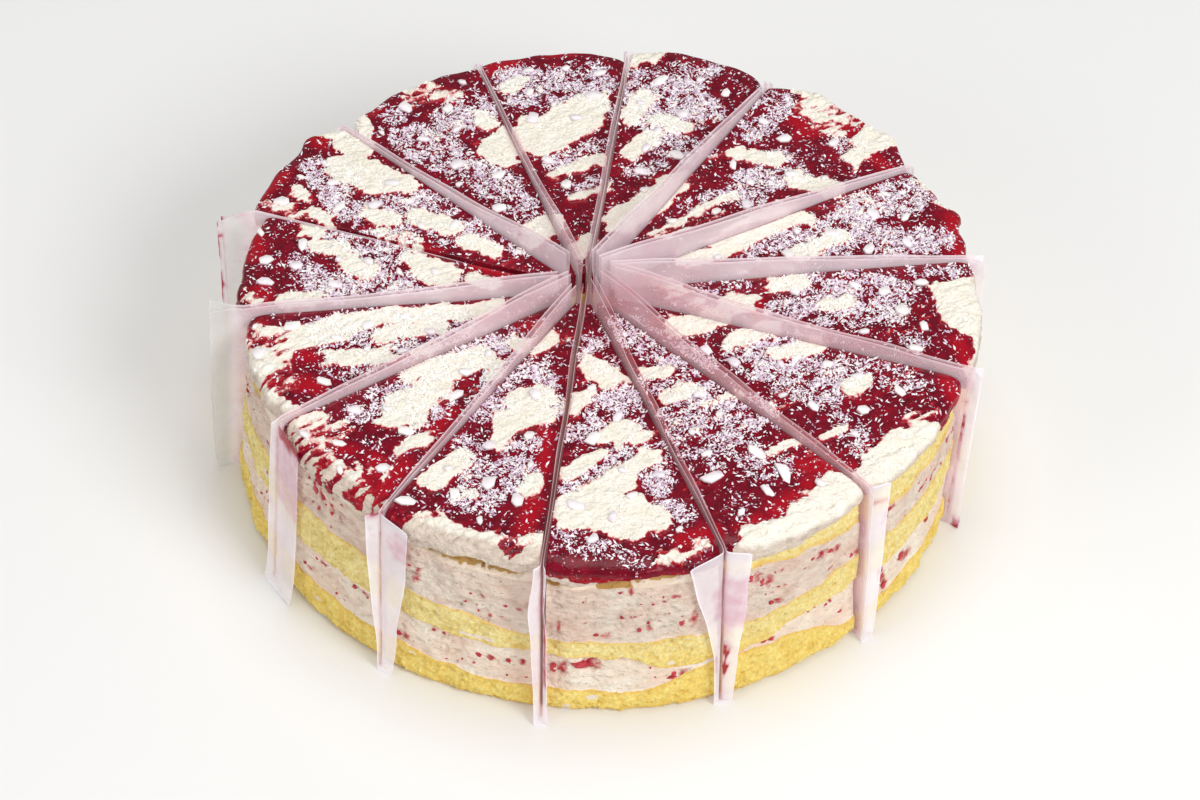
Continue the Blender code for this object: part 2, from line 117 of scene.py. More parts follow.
# Distance between points. Nearer to the tip than each of these, only every so many columns are kept.
GRID = 0.6 * MM
RING_STEPS = ((16.5 * MM, 8), (33 * MM, 4), (66 * MM, 2), (math.inf, 1))
print("portions:", len(CUT_ANGLES), "layers:", len(LAYERS))

# %% [markdown]
# ## Bumps that depend only on place
# Cream and crumb are rough in many sizes at once. A lattice of steady random numbers, blended between its
# corners, gives a bump of any size at any place, and it gives the same one every time it is asked. The
# last number of each call is its seed.

# %% Lattice bumps
LATTICE_PRIMES = np.array((73856093, 19349663, 83492791), np.uint32)
SEED_PRIME = 668265263
MIXERS = ((15, 2246822519), (13, 3266489917))
LAST_SHIFT = 16
HALF_RANGE = 2147483647.5
ROUGH_SIZES, SEED_STEP = 3, 17


def lattice(corner, seed):
    """A steady random number from -1 to 1 for every whole-number corner."""
    mixed = (corner.astype(np.uint32) * LATTICE_PRIMES).sum(axis=-1, dtype=np.uint32)
    mixed = mixed + np.uint32(seed * SEED_PRIME % 2**32)
    for shift, mixer in MIXERS:
        mixed = (mixed ^ (mixed >> shift)) * np.uint32(mixer)
    return (mixed ^ (mixed >> LAST_SHIFT)) / HALF_RANGE - 1.0


def bumps(places, size, seed):
    """Smooth values from -1 to 1 whose swells are this size across: one size, or one for each axis."""
    spots = places / np.asarray(size)
    corner = np.floor(spots).astype(np.int64)
    share = spots - corner
    share = share * share * (3.0 - 2.0 * share)
    total = np.zeros(places.shape[:-1])
    for step in itertools.product((0, 1), repeat=3):
        weight = np.where(step, share, 1.0 - share).prod(axis=-1)
        total += weight * lattice(corner + np.array(step), seed)
    return total


def rough(places, size, seed):
    """Bumps of a size, with smaller and smaller ones on top."""
    size = np.asarray(size, float)
    return sum(bumps(places, size / 2**n, seed + SEED_STEP * n) / 2**n for n in range(ROUGH_SIZES))


def smooth_step(value):
    value = np.clip(value, 0.0, 1.0)
    return value * value * (3.0 - 2.0 * value)


def blend(first, second, share):
    return first + (second - first) * share


def shared_noise(places):
    """Blender's own noise, which shaped the solids as well."""
    flat = places.reshape(-1, 3).tolist()
    return np.array([noise.noise(place) for place in flat]).reshape(places.shape[:-1])


def stack(*parts):
    return np.stack(np.broadcast_arrays(*parts), axis=-1)


def raised(flat, height):
    """Places on the plan, lifted to a height."""
    return stack(flat[..., 0], flat[..., 1], height)


probe = np.linspace(0, 0.05, 500)[:, None] * np.ones(3)
print("bumps range:", bumps(probe, 3 * MM, 1).min().round(2), "to", bumps(probe, 3 * MM, 1).max().round(2))

# %% [markdown]
# ## The wedge
# Each portion is a sector whose point lies where its two cut faces would meet. A place in it is a share of
# the way across and a distance from the point.

# %% Wedges


def way(angle):
    return stack(np.cos(angle), np.sin(angle))


def cut_way(index):
    rim = CAKE_RADIUS * way(math.radians(CUT_ANGLES[index % len(CUT_ANGLES)])) - CUTS_MEET
    return rim / np.linalg.norm(rim)


def layer_top(layer, angle):
    """A layer's top at the wall for each angle in degrees, joined up smoothly round the cake."""
    marks = np.array(LAYER_TOPS[layer], float)
    ring = np.vstack((marks[-1] - (360, 0), marks, marks[0] + (360, 0)))
    angle = angle % 360
    after = np.searchsorted(ring[:, 0], angle).clip(1, len(ring) - 1)
    share = (angle - ring[after - 1, 0]) / (ring[after, 0] - ring[after - 1, 0])
    return blend(ring[after - 1, 1], ring[after, 1], smooth_step(share)) * MM


def side_noise(angle, height):
    around = NOISE_AROUND * way(angle)
    return SIDE_ROUGHNESS * shared_noise(raised(around, NOISE_UPWARDS * height))


def rim_lump(angle, share):
    """How far the upper wall stands out at angles in degrees, at a share of the height."""
    lump = sum(
        outwards * MM * np.exp(-((((angle - middle + 180) % 360 - 180) / half) ** 2))
        for middle, half, outwards in RIM_LUMPS
    )
    return lump * smooth_step((share - LUMP_FROM) / (LUMP_FULL - LUMP_FROM))


class Portion:
    def __init__(self, index):
        first, second = cut_way(index), cut_way(index + 1)
        self.index = index
        self.name = f"portion_{index + 1:02d}"
        self.start = math.atan2(first[1], first[0])
        self.sweep = (math.atan2(second[1], second[0]) - self.start) % math.tau
        self.point = CUTS_MEET + way(self.start + self.sweep / 2) * SLIT_HALF / math.sin(self.sweep / 2)
        widest = RING_STEPS[0][1]
        columns = widest * round(self.sweep * CAKE_RADIUS / GRID / widest)
        self.across = np.linspace(0, 1, columns + 1)

    def angle(self, across):
        return self.start + self.sweep * across

    def side_distance(self, across, height, bulge):
        """How far from the point the wall stands, where a layer bulges this much."""
        share = height / CAKE_HEIGHT
        first, second = CORNER_INSETS[self.index]
        corner = np.where(across < 0.5, first, second) * MM * share * np.abs(2 * across - 1) ** CORNER_POWER
        shift = blend(FOOT_SHIFTS[self.index], TOP_SHIFTS[self.index], share)
        angle = self.angle(across)
        outwards = shift + bulge - corner + rim_lump(np.degrees(angle), share)
        radius = CAKE_RADIUS + outwards + side_noise(angle, height)
        behind = way(angle) @ self.point
        return -behind + np.sqrt(radius**2 - self.point @ self.point + behind**2)

    def place(self, across, distance):
        return self.point + distance[..., None] * way(self.angle(across))

    def from_cuts(self, across, distance):
        """How far a place is from the nearer of the two cut faces."""
        return distance * np.sin(self.sweep * np.minimum(across, 1 - across))


PORTIONS = [Portion(index) for index in range(len(CUT_ANGLES))]
print("widest portion:", round(math.degrees(max(p.sweep for p in PORTIONS)), 1), "degrees")

# %% [markdown]
# ## Where the cream shows and where the jam lies
# A spatula dragged the jam over the cream from lower left to upper right, so it left slanting streaks. The
# patches were placed as short strokes in millimetres: both ends and a half width. One number then
# says what lies at a place, from -1, deep jam, to 1, bare cream. Flakes get strokes too, with a strength
# at the end.

# %% Strokes of cream
CREAM_STROKES = (
    # from the first cut, at the front, round to the right
    (-8, -57, -3, -54, 4.5), (-2, -38, 8, -47, 5), (1, -71, 11, -69, 4.5), (10, -76, 16, -72, 3.5),
    (-8, -90, 2, -83, 4.5), (10, -88, 17, -83, 6), (2, -100, 10, -90, 7), (-6, -108, 12, -108, 9),
    (14, -108, 20, -110, 6), (-9, -112, 0, -113, 4.5), (6, -114, 14, -115, 5), (25, -54, 34, -49, 3.8),
    (38, -57, 52, -51, 1.6), (61, -78, 70, -73, 2.2), (18, -41, 24, -40, 3.5), (79, -71, 85, -67, 2),
    (90, -48, 93, -45, 4), (56, -20, 62, -17, 4), (64, -30, 78, -26, 3.6), (30, -17, 42, -13, 6),
    (48, -26, 52, -22, 3.5), (22, 5, 33, 4, 3), (47, -6, 54, -5, 5), (62, 5, 73, 6, 4),
    (82, -6, 90, -4, 3), (32, 18, 44, 21, 4), (46, 25, 74, 38, 5.5), (73, 20, 88, 30, 4.2),
    (20, 31, 50, 53, 2.4), (26, 29, 48, 42, 1.4), (45, 35, 68, 45, 3), (52, 76, 66, 72, 4.2),
    (74, 62, 86, 57, 5.5), (77, 66, 82, 63, 3.5), (92, 71, 98, 76, 5), (101, 82, 106, 86, 5),
    (80, 108, 84, 99, 4.5),
    # the back
    (9, 38, 27, 58, 7.2), (24, 58, 33, 65, 3), (12, 76, 19, 86, 4), (12, 96, 18, 108, 4.5),
    (22, 95, 32, 91, 3.5), (-22, 84, -6, 98, 10), (-6, 100, 0, 104, 6), (-24, 78, -16, 79, 4.5),
    (-28, 92, -26, 86, 4), (-17, 63, 1, 71, 3.6), (-9, 51, 1, 57, 3.2), (-34, 112, -30, 117, 3.2),
    (-8, 20, -3, 27, 4), (-36, 72, -33, 84, 6.5), (-42, 76, -38, 82, 4.5), (-47, 94, -42, 90, 4),
    (-25, 28, -18, 36, 5.5), (-96, 80, -90, 76, 6), (-92, 64, -74, 55, 8), (-98, 66, -92, 60, 5),
    (-83, 40, -76, 36, 4), (-66, 38, -54, 32, 5), (-48, 25, -38, 21, 4), (-105, 40, -99, 36, 3.5),
    (-72, 27, -66, 22, 3.5), (-114, 53, -110, 49, 3.5),
    # the left, round to the front again
    (-116, 31, -104, 29, 4.6), (-103, 22, -94, 20, 3.8), (-89, 14, -84, 10, 5), (-67, 13, -55, 8, 6),
    (-44, 6, -38, 4, 3.5), (-112, -6, -102, -6, 4.2), (-106, -26, -86, -20, 6.5),
    (-96, -36, -72, -34, 4.2), (-82, -16, -60, -12, 4.5), (-76, -24, -56, -18, 4), (-58, -12, -36, -8, 4),
    (-66, -30, -58, -34, 2.5), (-68, -58, -56, -50, 6.5), (-72, -64, -58, -64, 5),
    (-56, -42, -42, -34, 6.5), (-66, -46, -62, -42, 3), (-66, -80, -60, -76, 4), (-72, -92, -69, -88, 1.3),
    (-30, -26, -22, -30, 3.5), (-36, -44, -34, -36, 3), (-101, -68, -95, -66, 4),
    (-25, -57, -20, -55, 6.5), (-30, -66, -20, -62, 6.5), (-33, -76, -30, -70, 4),
    (-22, -98, -20, -92, 3.4), (-55, -94, -46, -84, 4.5), (-50, -110, -42, -101, 2.6),
    (-26, -122, -20, -119, 3), (-22, -28, -17, -24, 4.5),
)
print("cream strokes:", len(CREAM_STROKES))

# %% Strokes of jam
JAM_STROKES = (
    (-15, -102, -5, -94, 2.4), (-5, -94, 3, -87, 2.4), (3, -87, 12, -78, 2.4), (20, -92, 24, -97, 5.5),
    (24, -101, 30, -106, 3.5), (-9, -74, 1, -66, 3), (0, -62, 12, -52, 6), (36, 5, 57, 7, 4),
    (60, -6, 68, -10, 4), (112, -14, 113, 6, 4), (114, 14, 134, 14, 3), (122, -20, 124, -30, 5),
    (56, 21, 75, 33, 3.6), (108, 30, 128, 26, 4), (100, 22, 122, 22, 2.5), (73, 108, 72, 94, 3.2),
    (80, 82, 82, 70, 7), (88, 72, 92, 68, 3), (101, 70, 110, 76, 4), (22, 37, 52, 60, 2.4),
    (30, 29, 52, 42, 2.4), (50, 66, 58, 60, 4), (8, 63, 27, 74, 2.4), (20, 63, 33, 70, 2),
    (6, 49, 19, 59, 1.8), (34, 84, 38, 74, 4), (44, 110, 50, 96, 4), (-36, 104, -33, 92, 2.2),
    (6, 118, 7, 80, 1.8), (-21, 64, 3, 83, 2.6), (-14, 51, 3, 61, 2), (-8, 34, -4, 42, 4),
    (-76, 74, -50, 50, 3.2), (-50, 50, -34, 36, 3), (-84, 100, -66, 88, 4.5), (-47, 112, -45, 118, 4),
    (-50, 98, -50, 88, 2.5), (-46, 56, -42, 46, 3), (-95, 35, -87, 31, 2.8), (-84, 30, -75, 30, 1.8),
    (-62, 23, -59, 21, 2.5), (-100, 55, -96, 46, 4), (-106, 70, -104, 58, 4), (-86, 48, -70, 50, 2),
    (-38, 32, -28, 26, 3), (-124, 48, -114, 62, 3.2), (-119, 24, -118, 2, 5), (-112, 14, -110, 2, 4),
    (-88, -5, -80, -4, 2), (-75, 17, -70, 8, 3), (-44, 14, -24, 6, 3.5), (-112, 24, -106, 26, 1.5),
    (-71, -32, -57, -26, 1.6), (-96, -43, -80, -40, 2.6), (-106, -37, -98, -36, 3),
    (-102, -46, -96, -46, 4.5), (-116, -19, -114, -22, 3), (-117, -46, -114, -42, 3),
    (-87, -27, -82, -24, 1.6), (-27, -19, -22, -18, 2), (-68, -96, -62, -84, 4.5), (-75, -82, -73, -76, 4),
    (-92, -90, -86, -86, 6.5), (-90, -96, -78, -97, 5), (-92, -80, -84, -78, 3), (-57, -66, -52, -58, 3),
    (-88, -64, -78, -62, 3.4), (-52, -72, -50, -60, 3), (-99, -77, -97, -75, 2.5),
    (-108, -70, -107, -66, 1.2), (-38, -26, -30, -34, 3), (-44, -108, -36, -112, 6.5),
    (-28, -106, -22, -114, 6.5), (-18, -86, -17, -74, 2), (-34, -96, -28, -84, 6),
    (-28, -78, -18, -73, 2.6), (-41, -70, -42, -62, 4), (-48, -56, -44, -66, 3.5),
)
# Jam smeared so thinly over the cream that both show, in a mottled pink
PINK_STROKES = (
    (-101, -70, -88, -72, 6), (-80, -98, -81, -86, 2.2), (-76, -104, -76, -88, 2),
    (-115, -26, -110, -48, 6), (-121, -22, -119, -44, 4), (24, -127, 36, -122, 4), (80, 102, 96, 98, 6),
    (90, 90, 84, 94, 4), (-66, 110, -56, 106, 4.5), (-73, 104, -69, 104, 4), (-126, -2, -122, -8, 3),
    (-122, 44, -112, 40, 3.5), (-80, 30, -70, 24, 3), (28, -2, 38, -6, 3), (-66, -111, -58, -111, 2.5),
    (-28, -124, -22, -120, 4), (110, -62, 118, -56, 3), (-103, -73, -95, -84, 6), (-92, -88, -80, -99, 6),
)
# Thin jam, which glows a brighter red
THIN_STROKES = (
    (30, -120, 40, -117, 4), (4, -67, 7, -66, 2), (72, -84, 80, -84, 4), (74, -94, 79, -89, 3),
    (62, -106, 69, -100, 3.5), (50, -114, 56, -110, 2.5), (84, -86, 88, -84, 2), (-18, -88, -17, -72, 2.5),
    (-24, -116, -20, -104, 3.5), (-96, -86, -94, -94, 2.5), (-90, -80, -84, -80, 2.5),
    (-80, -94, -76, -104, 4), (-72, -98, -66, -88, 4), (-98, -76, -96, -74, 3), (-56, -72, -50, -60, 3),
    (-76, -84, -74, -90, 3), (-108, -36, -100, -34, 3), (-104, -48, -98, -50, 4),
    (-118, -40, -114, -48, 4), (-120, -20, -116, -26, 3), (-128, 36, -125, 18, 4), (-121, -2, -119, -9, 3),
    (-124, 52, -118, 60, 3), (-108, 83, -105, 80, 4), (-84, 30, -75, 29, 2), (-63, 22, -59, 20, 2.5),
    (-86, 97, -84, 99, 2.5), (-66, 108, -56, 104, 3), (-40, 124, -34, 128, 4.5), (-20, 133, -10, 134, 2),
    (78, 90, 102, 93, 4.5), (76, 96, 92, 104, 5), (103, 75, 108, 70, 3), (130, 42, 132, 22, 3),
    (124, 56, 126, 52, 2), (129, -22, 131, -34, 3), (57, -4, 60, -11, 2.5), (124, -44, 128, -52, 3),
    (22, 62, 28, 64, 1.5), (-27, -19, -20, -17, 2), (-44, 13, -26, 7, 2.5),
)
print("jam strokes:", len(JAM_STROKES), "pink:", len(PINK_STROKES), "thin:", len(THIN_STROKES))

# %% Strokes of flakes, and the jam at the rim
FLAKY_STROKES = (
    (-4, -28, 2, -36, 6, 0.9), (4, -58, 10, -54, 7, 1), (-8, -72, 0, -66, 4, 0.9),
    (-10, -98, 10, -80, 3, 0.9), (21, -90, 24, -98, 5, 0.9), (25, -104, 31, -108, 4, 0.8),
    (-12, -120, 18, -130, 5, 0.4), (14, -64, 16, -76, 3, 0.5), (10, -20, 34, -36, 8, 0.9),
    (18, -48, 24, -42, 5, 0.7), (34, -52, 54, -60, 9, 1), (28, -62, 50, -68, 6, 0.8),
    (30, -76, 60, -84, 9, 0.5), (60, -64, 60, -60, 4, 0.8), (56, -34, 86, -40, 9, 1),
    (50, -28, 60, -24, 5, 0.9), (66, -48, 80, -52, 6, 0.8), (60, -28, 76, -20, 4, 0.8),
    (90, -36, 110, -44, 6, 0.5), (84, -62, 92, -74, 5, 0.5), (70, 6, 104, 4, 7, 1),
    (72, -8, 102, -8, 8, 1), (64, -6, 70, -12, 4, 0.8), (106, -10, 112, 4, 4, 0.8),
    (112, -22, 114, -26, 4, 0.9), (114, 14, 130, 14, 3, 0.8), (40, 4, 52, 8, 5, 0.6),
    (80, 28, 100, 40, 10, 1), (96, 44, 116, 54, 9, 1), (106, 30, 124, 30, 6, 0.9),
    (58, 22, 74, 32, 5, 0.9), (92, 22, 112, 22, 3, 0.8), (58, 90, 68, 104, 7, 1),
    (56, 58, 66, 64, 8, 0.9), (50, 52, 64, 48, 4, 0.8), (68, 74, 74, 64, 5, 0.9), (90, 84, 97, 80, 4, 0.8),
    (34, 46, 44, 52, 3, 0.8), (16, 110, 34, 112, 8, 1), (18, 98, 38, 100, 9, 1),
    (24, 84, 34, 78, 7, 0.95), (14, 120, 40, 120, 5, 0.8), (12, 66, 24, 70, 3, 0.9),
    (40, 90, 42, 78, 4, 0.7), (30, 124, 44, 124, 4, 0.5), (-34, 118, 0, 116, 7, 1),
    (-30, 106, -8, 110, 5, 0.95), (-4, 112, 3, 100, 3, 0.9), (-16, 68, 0, 80, 4, 0.95),
    (-16, 124, 0, 126, 4, 0.7), (-10, 54, 2, 60, 2.5, 0.8), (-70, 82, -56, 72, 9, 1),
    (-56, 92, -44, 100, 7, 0.95), (-50, 66, -36, 56, 8, 0.9), (-34, 54, -28, 48, 5, 0.9),
    (-82, 97, -76, 94, 4, 0.8), (-58, 98, -52, 104, 4, 0.8), (-30, 44, -22, 36, 4, 0.8),
    (-104, 64, -98, 50, 6, 1), (-94, 60, -86, 62, 4, 0.9), (-86, 44, -66, 48, 5, 0.95),
    (-60, 46, -56, 44, 5, 0.8), (-46, 34, -30, 24, 6, 0.9), (-94, 44, -88, 40, 6, 0.9),
    (-76, 38, -70, 34, 4, 0.7), (-58, 30, -50, 28, 6, 0.6), (-96, 24, -72, 26, 6, 1),
    (-92, 2, -72, 4, 7, 1), (-104, 8, -98, 0, 6, 0.9), (-78, 12, -72, 18, 5, 0.95),
    (-72, 0, -58, 3, 4, 0.9), (-112, 16, -106, 18, 3, 0.6), (-98, -4, -92, -6, 3, 1),
    (-96, -22, -50, -16, 8, 1), (-70, -30, -40, -22, 5, 0.9), (-92, -36, -76, -36, 4, 0.6),
    (-92, -43, -80, -40, 3, 0.8), (-62, -42, -40, -30, 8, 1), (-72, -56, -58, -50, 8, 0.9),
    (-50, -34, -30, -24, 5, 1), (-84, -62, -76, -62, 4, 0.8), (-60, -66, -54, -56, 5, 0.9),
    (-34, -46, -22, -34, 7, 0.9), (-20, -36, -15, -60, 4, 0.8), (-40, -60, -32, -56, 6, 0.9),
    (-44, -78, -38, -96, 6, 0.8), (-38, -98, -26, -90, 8, 1), (-30, -80, -20, -76, 3, 1),
    (-46, -102, -36, -106, 4, 0.7),
)
# At the rim, at an angle: how deep the jam reaches inwards, or as a minus how deep the bare cream does
RIM_DEPTHS = (
    (262.6, 13), (285, 13), (289, 9), (291, -3), (293.4, -10), (300, -8), (303.4, -10), (307, -12),
    (310, -14), (314, -12), (316, -10), (319.7, -13), (326, -13.5), (329.7, -9), (331.5, -4), (334, 4),
    (336, 8), (342, 12), (343.5, -3), (351, -3), (354, -17), (363, -17), (366, 8), (378, 9), (380, -4),
    (382, -4), (384, 6), (386, -4), (388, -2), (390, 8), (396, 5), (398, -15), (402, -14), (404, 5),
    (408, 3), (411, -12), (416, -14), (418, 8), (422, 14), (437, 13), (440, -9), (445, -9), (446, 10),
    (478, 8), (480, -6), (484, -6), (487, 14), (491, 14), (494, -9), (501.5, -10), (503, 12), (515, 10),
    (522, 14), (540, 18), (544, 8), (547, 4), (550, -3), (562, -6), (575, -6), (580, -2), (596, -2),
    (600, 5), (602, -9), (622, -11),
)
print("flaky strokes:", len(FLAKY_STROKES), "marks at the rim:", len(RIM_DEPTHS))

# %% [markdown]
# The strokes have soft edges and are bent by bumps drawn out along the way of the spatula, or they would
# look like sausages. Under thick flakes the ground is a fine mix of both. The rim gets its own band, as
# the jam pooled there.

# %% The map of cream, jam and flakes
DRAG_ANGLE = math.radians(33.0)
STROKE_SOFTNESS = 2.0
RIM_SOFTNESS = 2.6
FLAKY_GROUND = 0.06
# What lies where no stroke is, in the pink smears and under thick flakes, from -1, deep jam, to 1, cream
PLAIN_LEVEL, PINK_LEVEL, FLAKY_LEVEL = -0.6, 0.12, 0.05
# Bumps drawn out along the way of the spatula
LONG_STREAK, FINE_STREAK = (7 * MM, 1.6 * MM, 1), (2.4 * MM, 1.1 * MM, 1)


def drag_frame(x, y):
    """The same place measured along and across the way of the spatula."""
    along = x * math.cos(DRAG_ANGLE) + y * math.sin(DRAG_ANGLE)
    across = y * math.cos(DRAG_ANGLE) - x * math.sin(DRAG_ANGLE)
    return stack(along, across, 0.0)


def inside_strokes(x, y, strokes):
    """1 well inside any stroke, 0 on an outline and -1 well outside all, for places in millimetres."""
    best = np.full(np.shape(x), -1.0)
    for x0, y0, x1, y1, half in strokes:
        run = np.array((x1 - x0, y1 - y0))
        share = np.clip(((x - x0) * run[0] + (y - y0) * run[1]) / (run @ run), 0, 1)
        away = np.hypot(x - x0 - share * run[0], y - y0 - share * run[1])
        best = np.maximum(best, (half - away) / STROKE_SOFTNESS)
    return np.minimum(best, 1.0)


def rim_depth(x, y):
    marks = np.array(RIM_DEPTHS)
    angle = (np.degrees(np.arctan2(y, x)) - marks[0, 0]) % 360 + marks[0, 0]
    return np.interp(angle, marks[:, 0], marks[:, 1])


def ragged_place(x, y):
    """A place in millimetres, moved a little by bumps of three sizes."""
    spot = drag_frame(x, y)
    moves = []
    for seed in (3, 4):
        large = 0.9 * bumps(spot, 14 * MM, seed)
        middle = bumps(spot, (4.5 * MM, 2.4 * MM, 1), seed + 2)
        small = 0.55 * bumps(spot, (1.9 * MM, 1.2 * MM, 1), seed + 12)
        moves.append(large + (middle + small))
    return x / MM + moves[0], y / MM + moves[1]


def flaky(x, y):
    """How thickly the flakes lie, from 0 to 1."""
    x_mm, y_mm = ragged_place(x, y)
    total = np.full(np.shape(x), FLAKY_GROUND)
    for *stroke, strength in FLAKY_STROKES:
        total = np.maximum(total, strength * smooth_step(0.5 + 0.5 * inside_strokes(x_mm, y_mm, (stroke,))))
    spot = drag_frame(x, y)
    clumps = 0.75 + 0.6 * bumps(spot, 4 * MM, 71) + 0.55 * bumps(spot, 1.9 * MM, 72)
    return np.clip(total * clumps, 0, 1)


def cover(x, y, from_rim):
    """From -1, deep jam, to 1, bare cream, at places in metres."""
    spot = drag_frame(x, y)
    x_mm, y_mm = ragged_place(x, y)
    value = PLAIN_LEVEL + 0.4 * bumps(spot, (22 * MM, 7 * MM, 1), 7)
    value = np.maximum(value, inside_strokes(x_mm, y_mm, CREAM_STROKES))
    depth = rim_depth(x_mm, y_mm) + 2.0 * bumps(spot, 6 * MM, 8) + 1.0 * bumps(spot, 2 * MM, 10)
    reach = np.clip((np.abs(depth) - from_rim / MM) / RIM_SOFTNESS, -1, 1)
    value = np.where(depth > 0, np.minimum(value, -reach), np.maximum(value, reach))
    value = np.minimum(value, -inside_strokes(x_mm, y_mm, JAM_STROKES))
    streaks = 0.34 * bumps(spot, LONG_STREAK, 9) + 0.26 * bumps(spot, FINE_STREAK, 14)
    smeared = smooth_step(0.5 + 0.5 * inside_strokes(x_mm, y_mm, PINK_STROKES))
    value = blend(value, PINK_LEVEL + 0.35 * streaks + 0.42 * bumps(spot, 5 * MM, 16), smeared)
    under_flakes = 0.4 * smooth_step((flaky(x, y) - 0.45) / 0.4)
    value = blend(value, FLAKY_LEVEL + 0.9 * bumps(spot, (2.6 * MM, 1.7 * MM, 1), 15), under_flakes)
    value = value + streaks * (1.1 - np.abs(value))
    return np.clip(value, -1, 1)


def thin_jam(x, y):
    """From 0 to 1: how thin, and so how bright, the jam is."""
    spot = drag_frame(x, y)
    moved = (part / MM + bumps(spot, 9 * MM, seed) for part, seed in ((x, 11), (y, 12)))
    marked = inside_strokes(*moved, THIN_STROKES)
    loose = bumps(spot, (9 * MM, 4 * MM, 1), 13) - 0.35
    return np.clip(0.5 + 0.5 * marked + 0.65 * np.clip(loose, 0, 1), 0, 1)


sample = np.linspace(-0.1, 0.1, 60)
grid_x, grid_y = np.meshgrid(sample, sample)
print("bare cream share:", (cover(grid_x, grid_y, 0.03) > 0).mean().round(2))

# %% [markdown]
# ## A shell that gathers points and triangles
# Every layer is one closed body: a fine wall, a cap below and above, two flat cut faces and a blunt tip. A
# small class keeps the growing lists, so that each of those is one short call.

# %% The shell


class Shell:
    def __init__(self):
        self.points, self.faces, self.values, self.count = [], [], {}, 0

    def add(self, points, **values):
        """Adds points and returns their numbers, in the same layout. Values are kept for each point."""
        layout = points.shape[:-1]
        numbers = self.count + np.arange(int(np.prod(layout))).reshape(layout)
        self.points.append(points.reshape(-1, 3))
        for name, value in values.items():
            spread = np.broadcast_to(value, layout).ravel()
            self.values.setdefault(name, []).append((numbers.ravel(), spread))
        self.count += numbers.size
        return numbers

    def triangles(self, *corners):
        self.faces.append(np.stack([np.ravel(corner) for corner in corners], axis=1))

    def quads(self, first, second, third, fourth):
        self.triangles(first, second, third)
        self.triangles(first, third, fourth)

    def patch(self, grid):
        """A grid whose rows run counter-clockwise and climb, seen from outside."""
        self.quads(grid[:-1, :-1], grid[:-1, 1:], grid[1:, 1:], grid[1:, :-1])

    def fan(self, middle, line):
        """Triangles from one middle point to each stretch of a line of points."""
        line = np.asarray(line)
        self.triangles(np.full(len(line) - 1, middle), line[:-1], line[1:])

    def mesh(self, name):
        """The gathered points and triangles as a Blender mesh, with its values as attributes."""
        mesh = bpy.data.meshes.new(name)
        points, faces = np.concatenate(self.points), np.concatenate(self.faces)
        mesh.vertices.add(len(points))
        mesh.vertices.foreach_set("co", points.astype(np.float32).ravel())
        mesh.loops.add(faces.size)
        mesh.loops.foreach_set("vertex_index", faces.astype(np.int32).ravel())
        mesh.polygons.add(len(faces))
        mesh.polygons.foreach_set("loop_start", np.arange(0, faces.size, 3, dtype=np.int32))
        mesh.update(calc_edges=True)
        for label, parts in self.values.items():
            whole = np.zeros(len(points), np.float32)
            for numbers, value in parts:
                whole[numbers] = value
            mesh.attributes.new(label, "FLOAT", "POINT").data.foreach_set("value", whole)
        mesh.validate()
        return mesh


SHARP_ANGLE = math.radians(75)


def add_piece(name, mesh, material, slot, *nodes, smooth=True):
    """Puts a finished mesh in the scene, riding with the cake."""
    piece = bpy.data.objects.new(name, mesh)
    bpy.context.scene.collection.objects.link(piece)
    mesh.materials.clear()
    mesh.materials.append(material)
    if smooth:
        mesh.shade_smooth()
        mesh.set_sharp_from_angle(angle=SHARP_ANGLE)
    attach(piece, "root")
    if nodes:
        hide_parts(*nodes)


print("a shell holds points, faces and one value for each point")

# %% [markdown]
# ## Shader groups
# Two effects come back in several finishes, so each is a node group with named inputs: a mottle that
# drifts between two colours, and pores, which are small and deep. Each finish colours the pores its own
# way: seeds in the cream, painted highlight specks on the jam, painted shade in the sponge's holes.
# Copied nodes would do as well, but then each change would have to be made in every finish.

# %% Small helpers for node trees


def link(tree, source, target):
    tree.links.new(source, target)


def node_group(name, kind, inputs, outputs):
    """A new group, with what its inputs give and what its outputs take."""
    tree = bpy.data.node_groups.new(name, kind)
    for way_round, sockets in (("INPUT", inputs), ("OUTPUT", outputs)):
        for label, socket_kind in sockets:
            tree.interface.new_socket(label, in_out=way_round, socket_type=socket_kind)
    return tree, tree.nodes.new("NodeGroupInput").outputs, tree.nodes.new("NodeGroupOutput").inputs


def add_node(tree, kind, values=None, **settings):
    """Makes a node. Each input takes a plain value or a socket. Gives the node's outputs."""
    node = tree.nodes.new(kind)
    for label, value in settings.items():
        setattr(node, label, value)
    for label, value in (values or {}).items():
        socket = node.inputs[label]
        if isinstance(value, bpy.types.NodeSocket):
            link(tree, value, socket)
        else:
            socket.default_value = value
    return node.outputs


def add_map(tree, value, low, high, to_low=0.0, to_high=1.0):
    """A value moved softly from one range to another, and kept inside it."""
    ends = {"From Min": low, "From Max": high, "To Min": to_low, "To Max": to_high}
    values = {"Value": value, **ends}
    return add_node(tree, "ShaderNodeMapRange", values, interpolation_type="SMOOTHSTEP")["Result"]


def add_mix(tree, share, first, second, mode="MIX"):
    """One colour over another by a share, each a socket or a plain value."""
    values = {0: share, 6: first, 7: second}
    return add_node(tree, "ShaderNodeMix", values, data_type="RGBA", blend_type=mode)[2]


def add_math(tree, operation, *values):
    return add_node(tree, "ShaderNodeMath", dict(enumerate(values)), operation=operation)[0]


def add_noise(tree, place, scale, detail):
    """Noise from 0 to 1, with this many swells in a metre."""
    values = {"Vector": place, "Scale": scale, "Detail": detail}
    return add_node(tree, "ShaderNodeTexNoise", values)["Fac"]


def add_wobble(tree, value, noise, strength=1.0):
    """A value moved up and down by noise whose middle is 0.5."""
    move = add_math(tree, "MULTIPLY", add_math(tree, "SUBTRACT", noise, 0.5), strength)
    return add_math(tree, "ADD", value, move)


def lay_over(tree, mask, strength, below, above):
    """A second colour over the first where the mask is 1, at a strength."""
    return add_mix(tree, add_math(tree, "MULTIPLY", mask, strength), below, above)


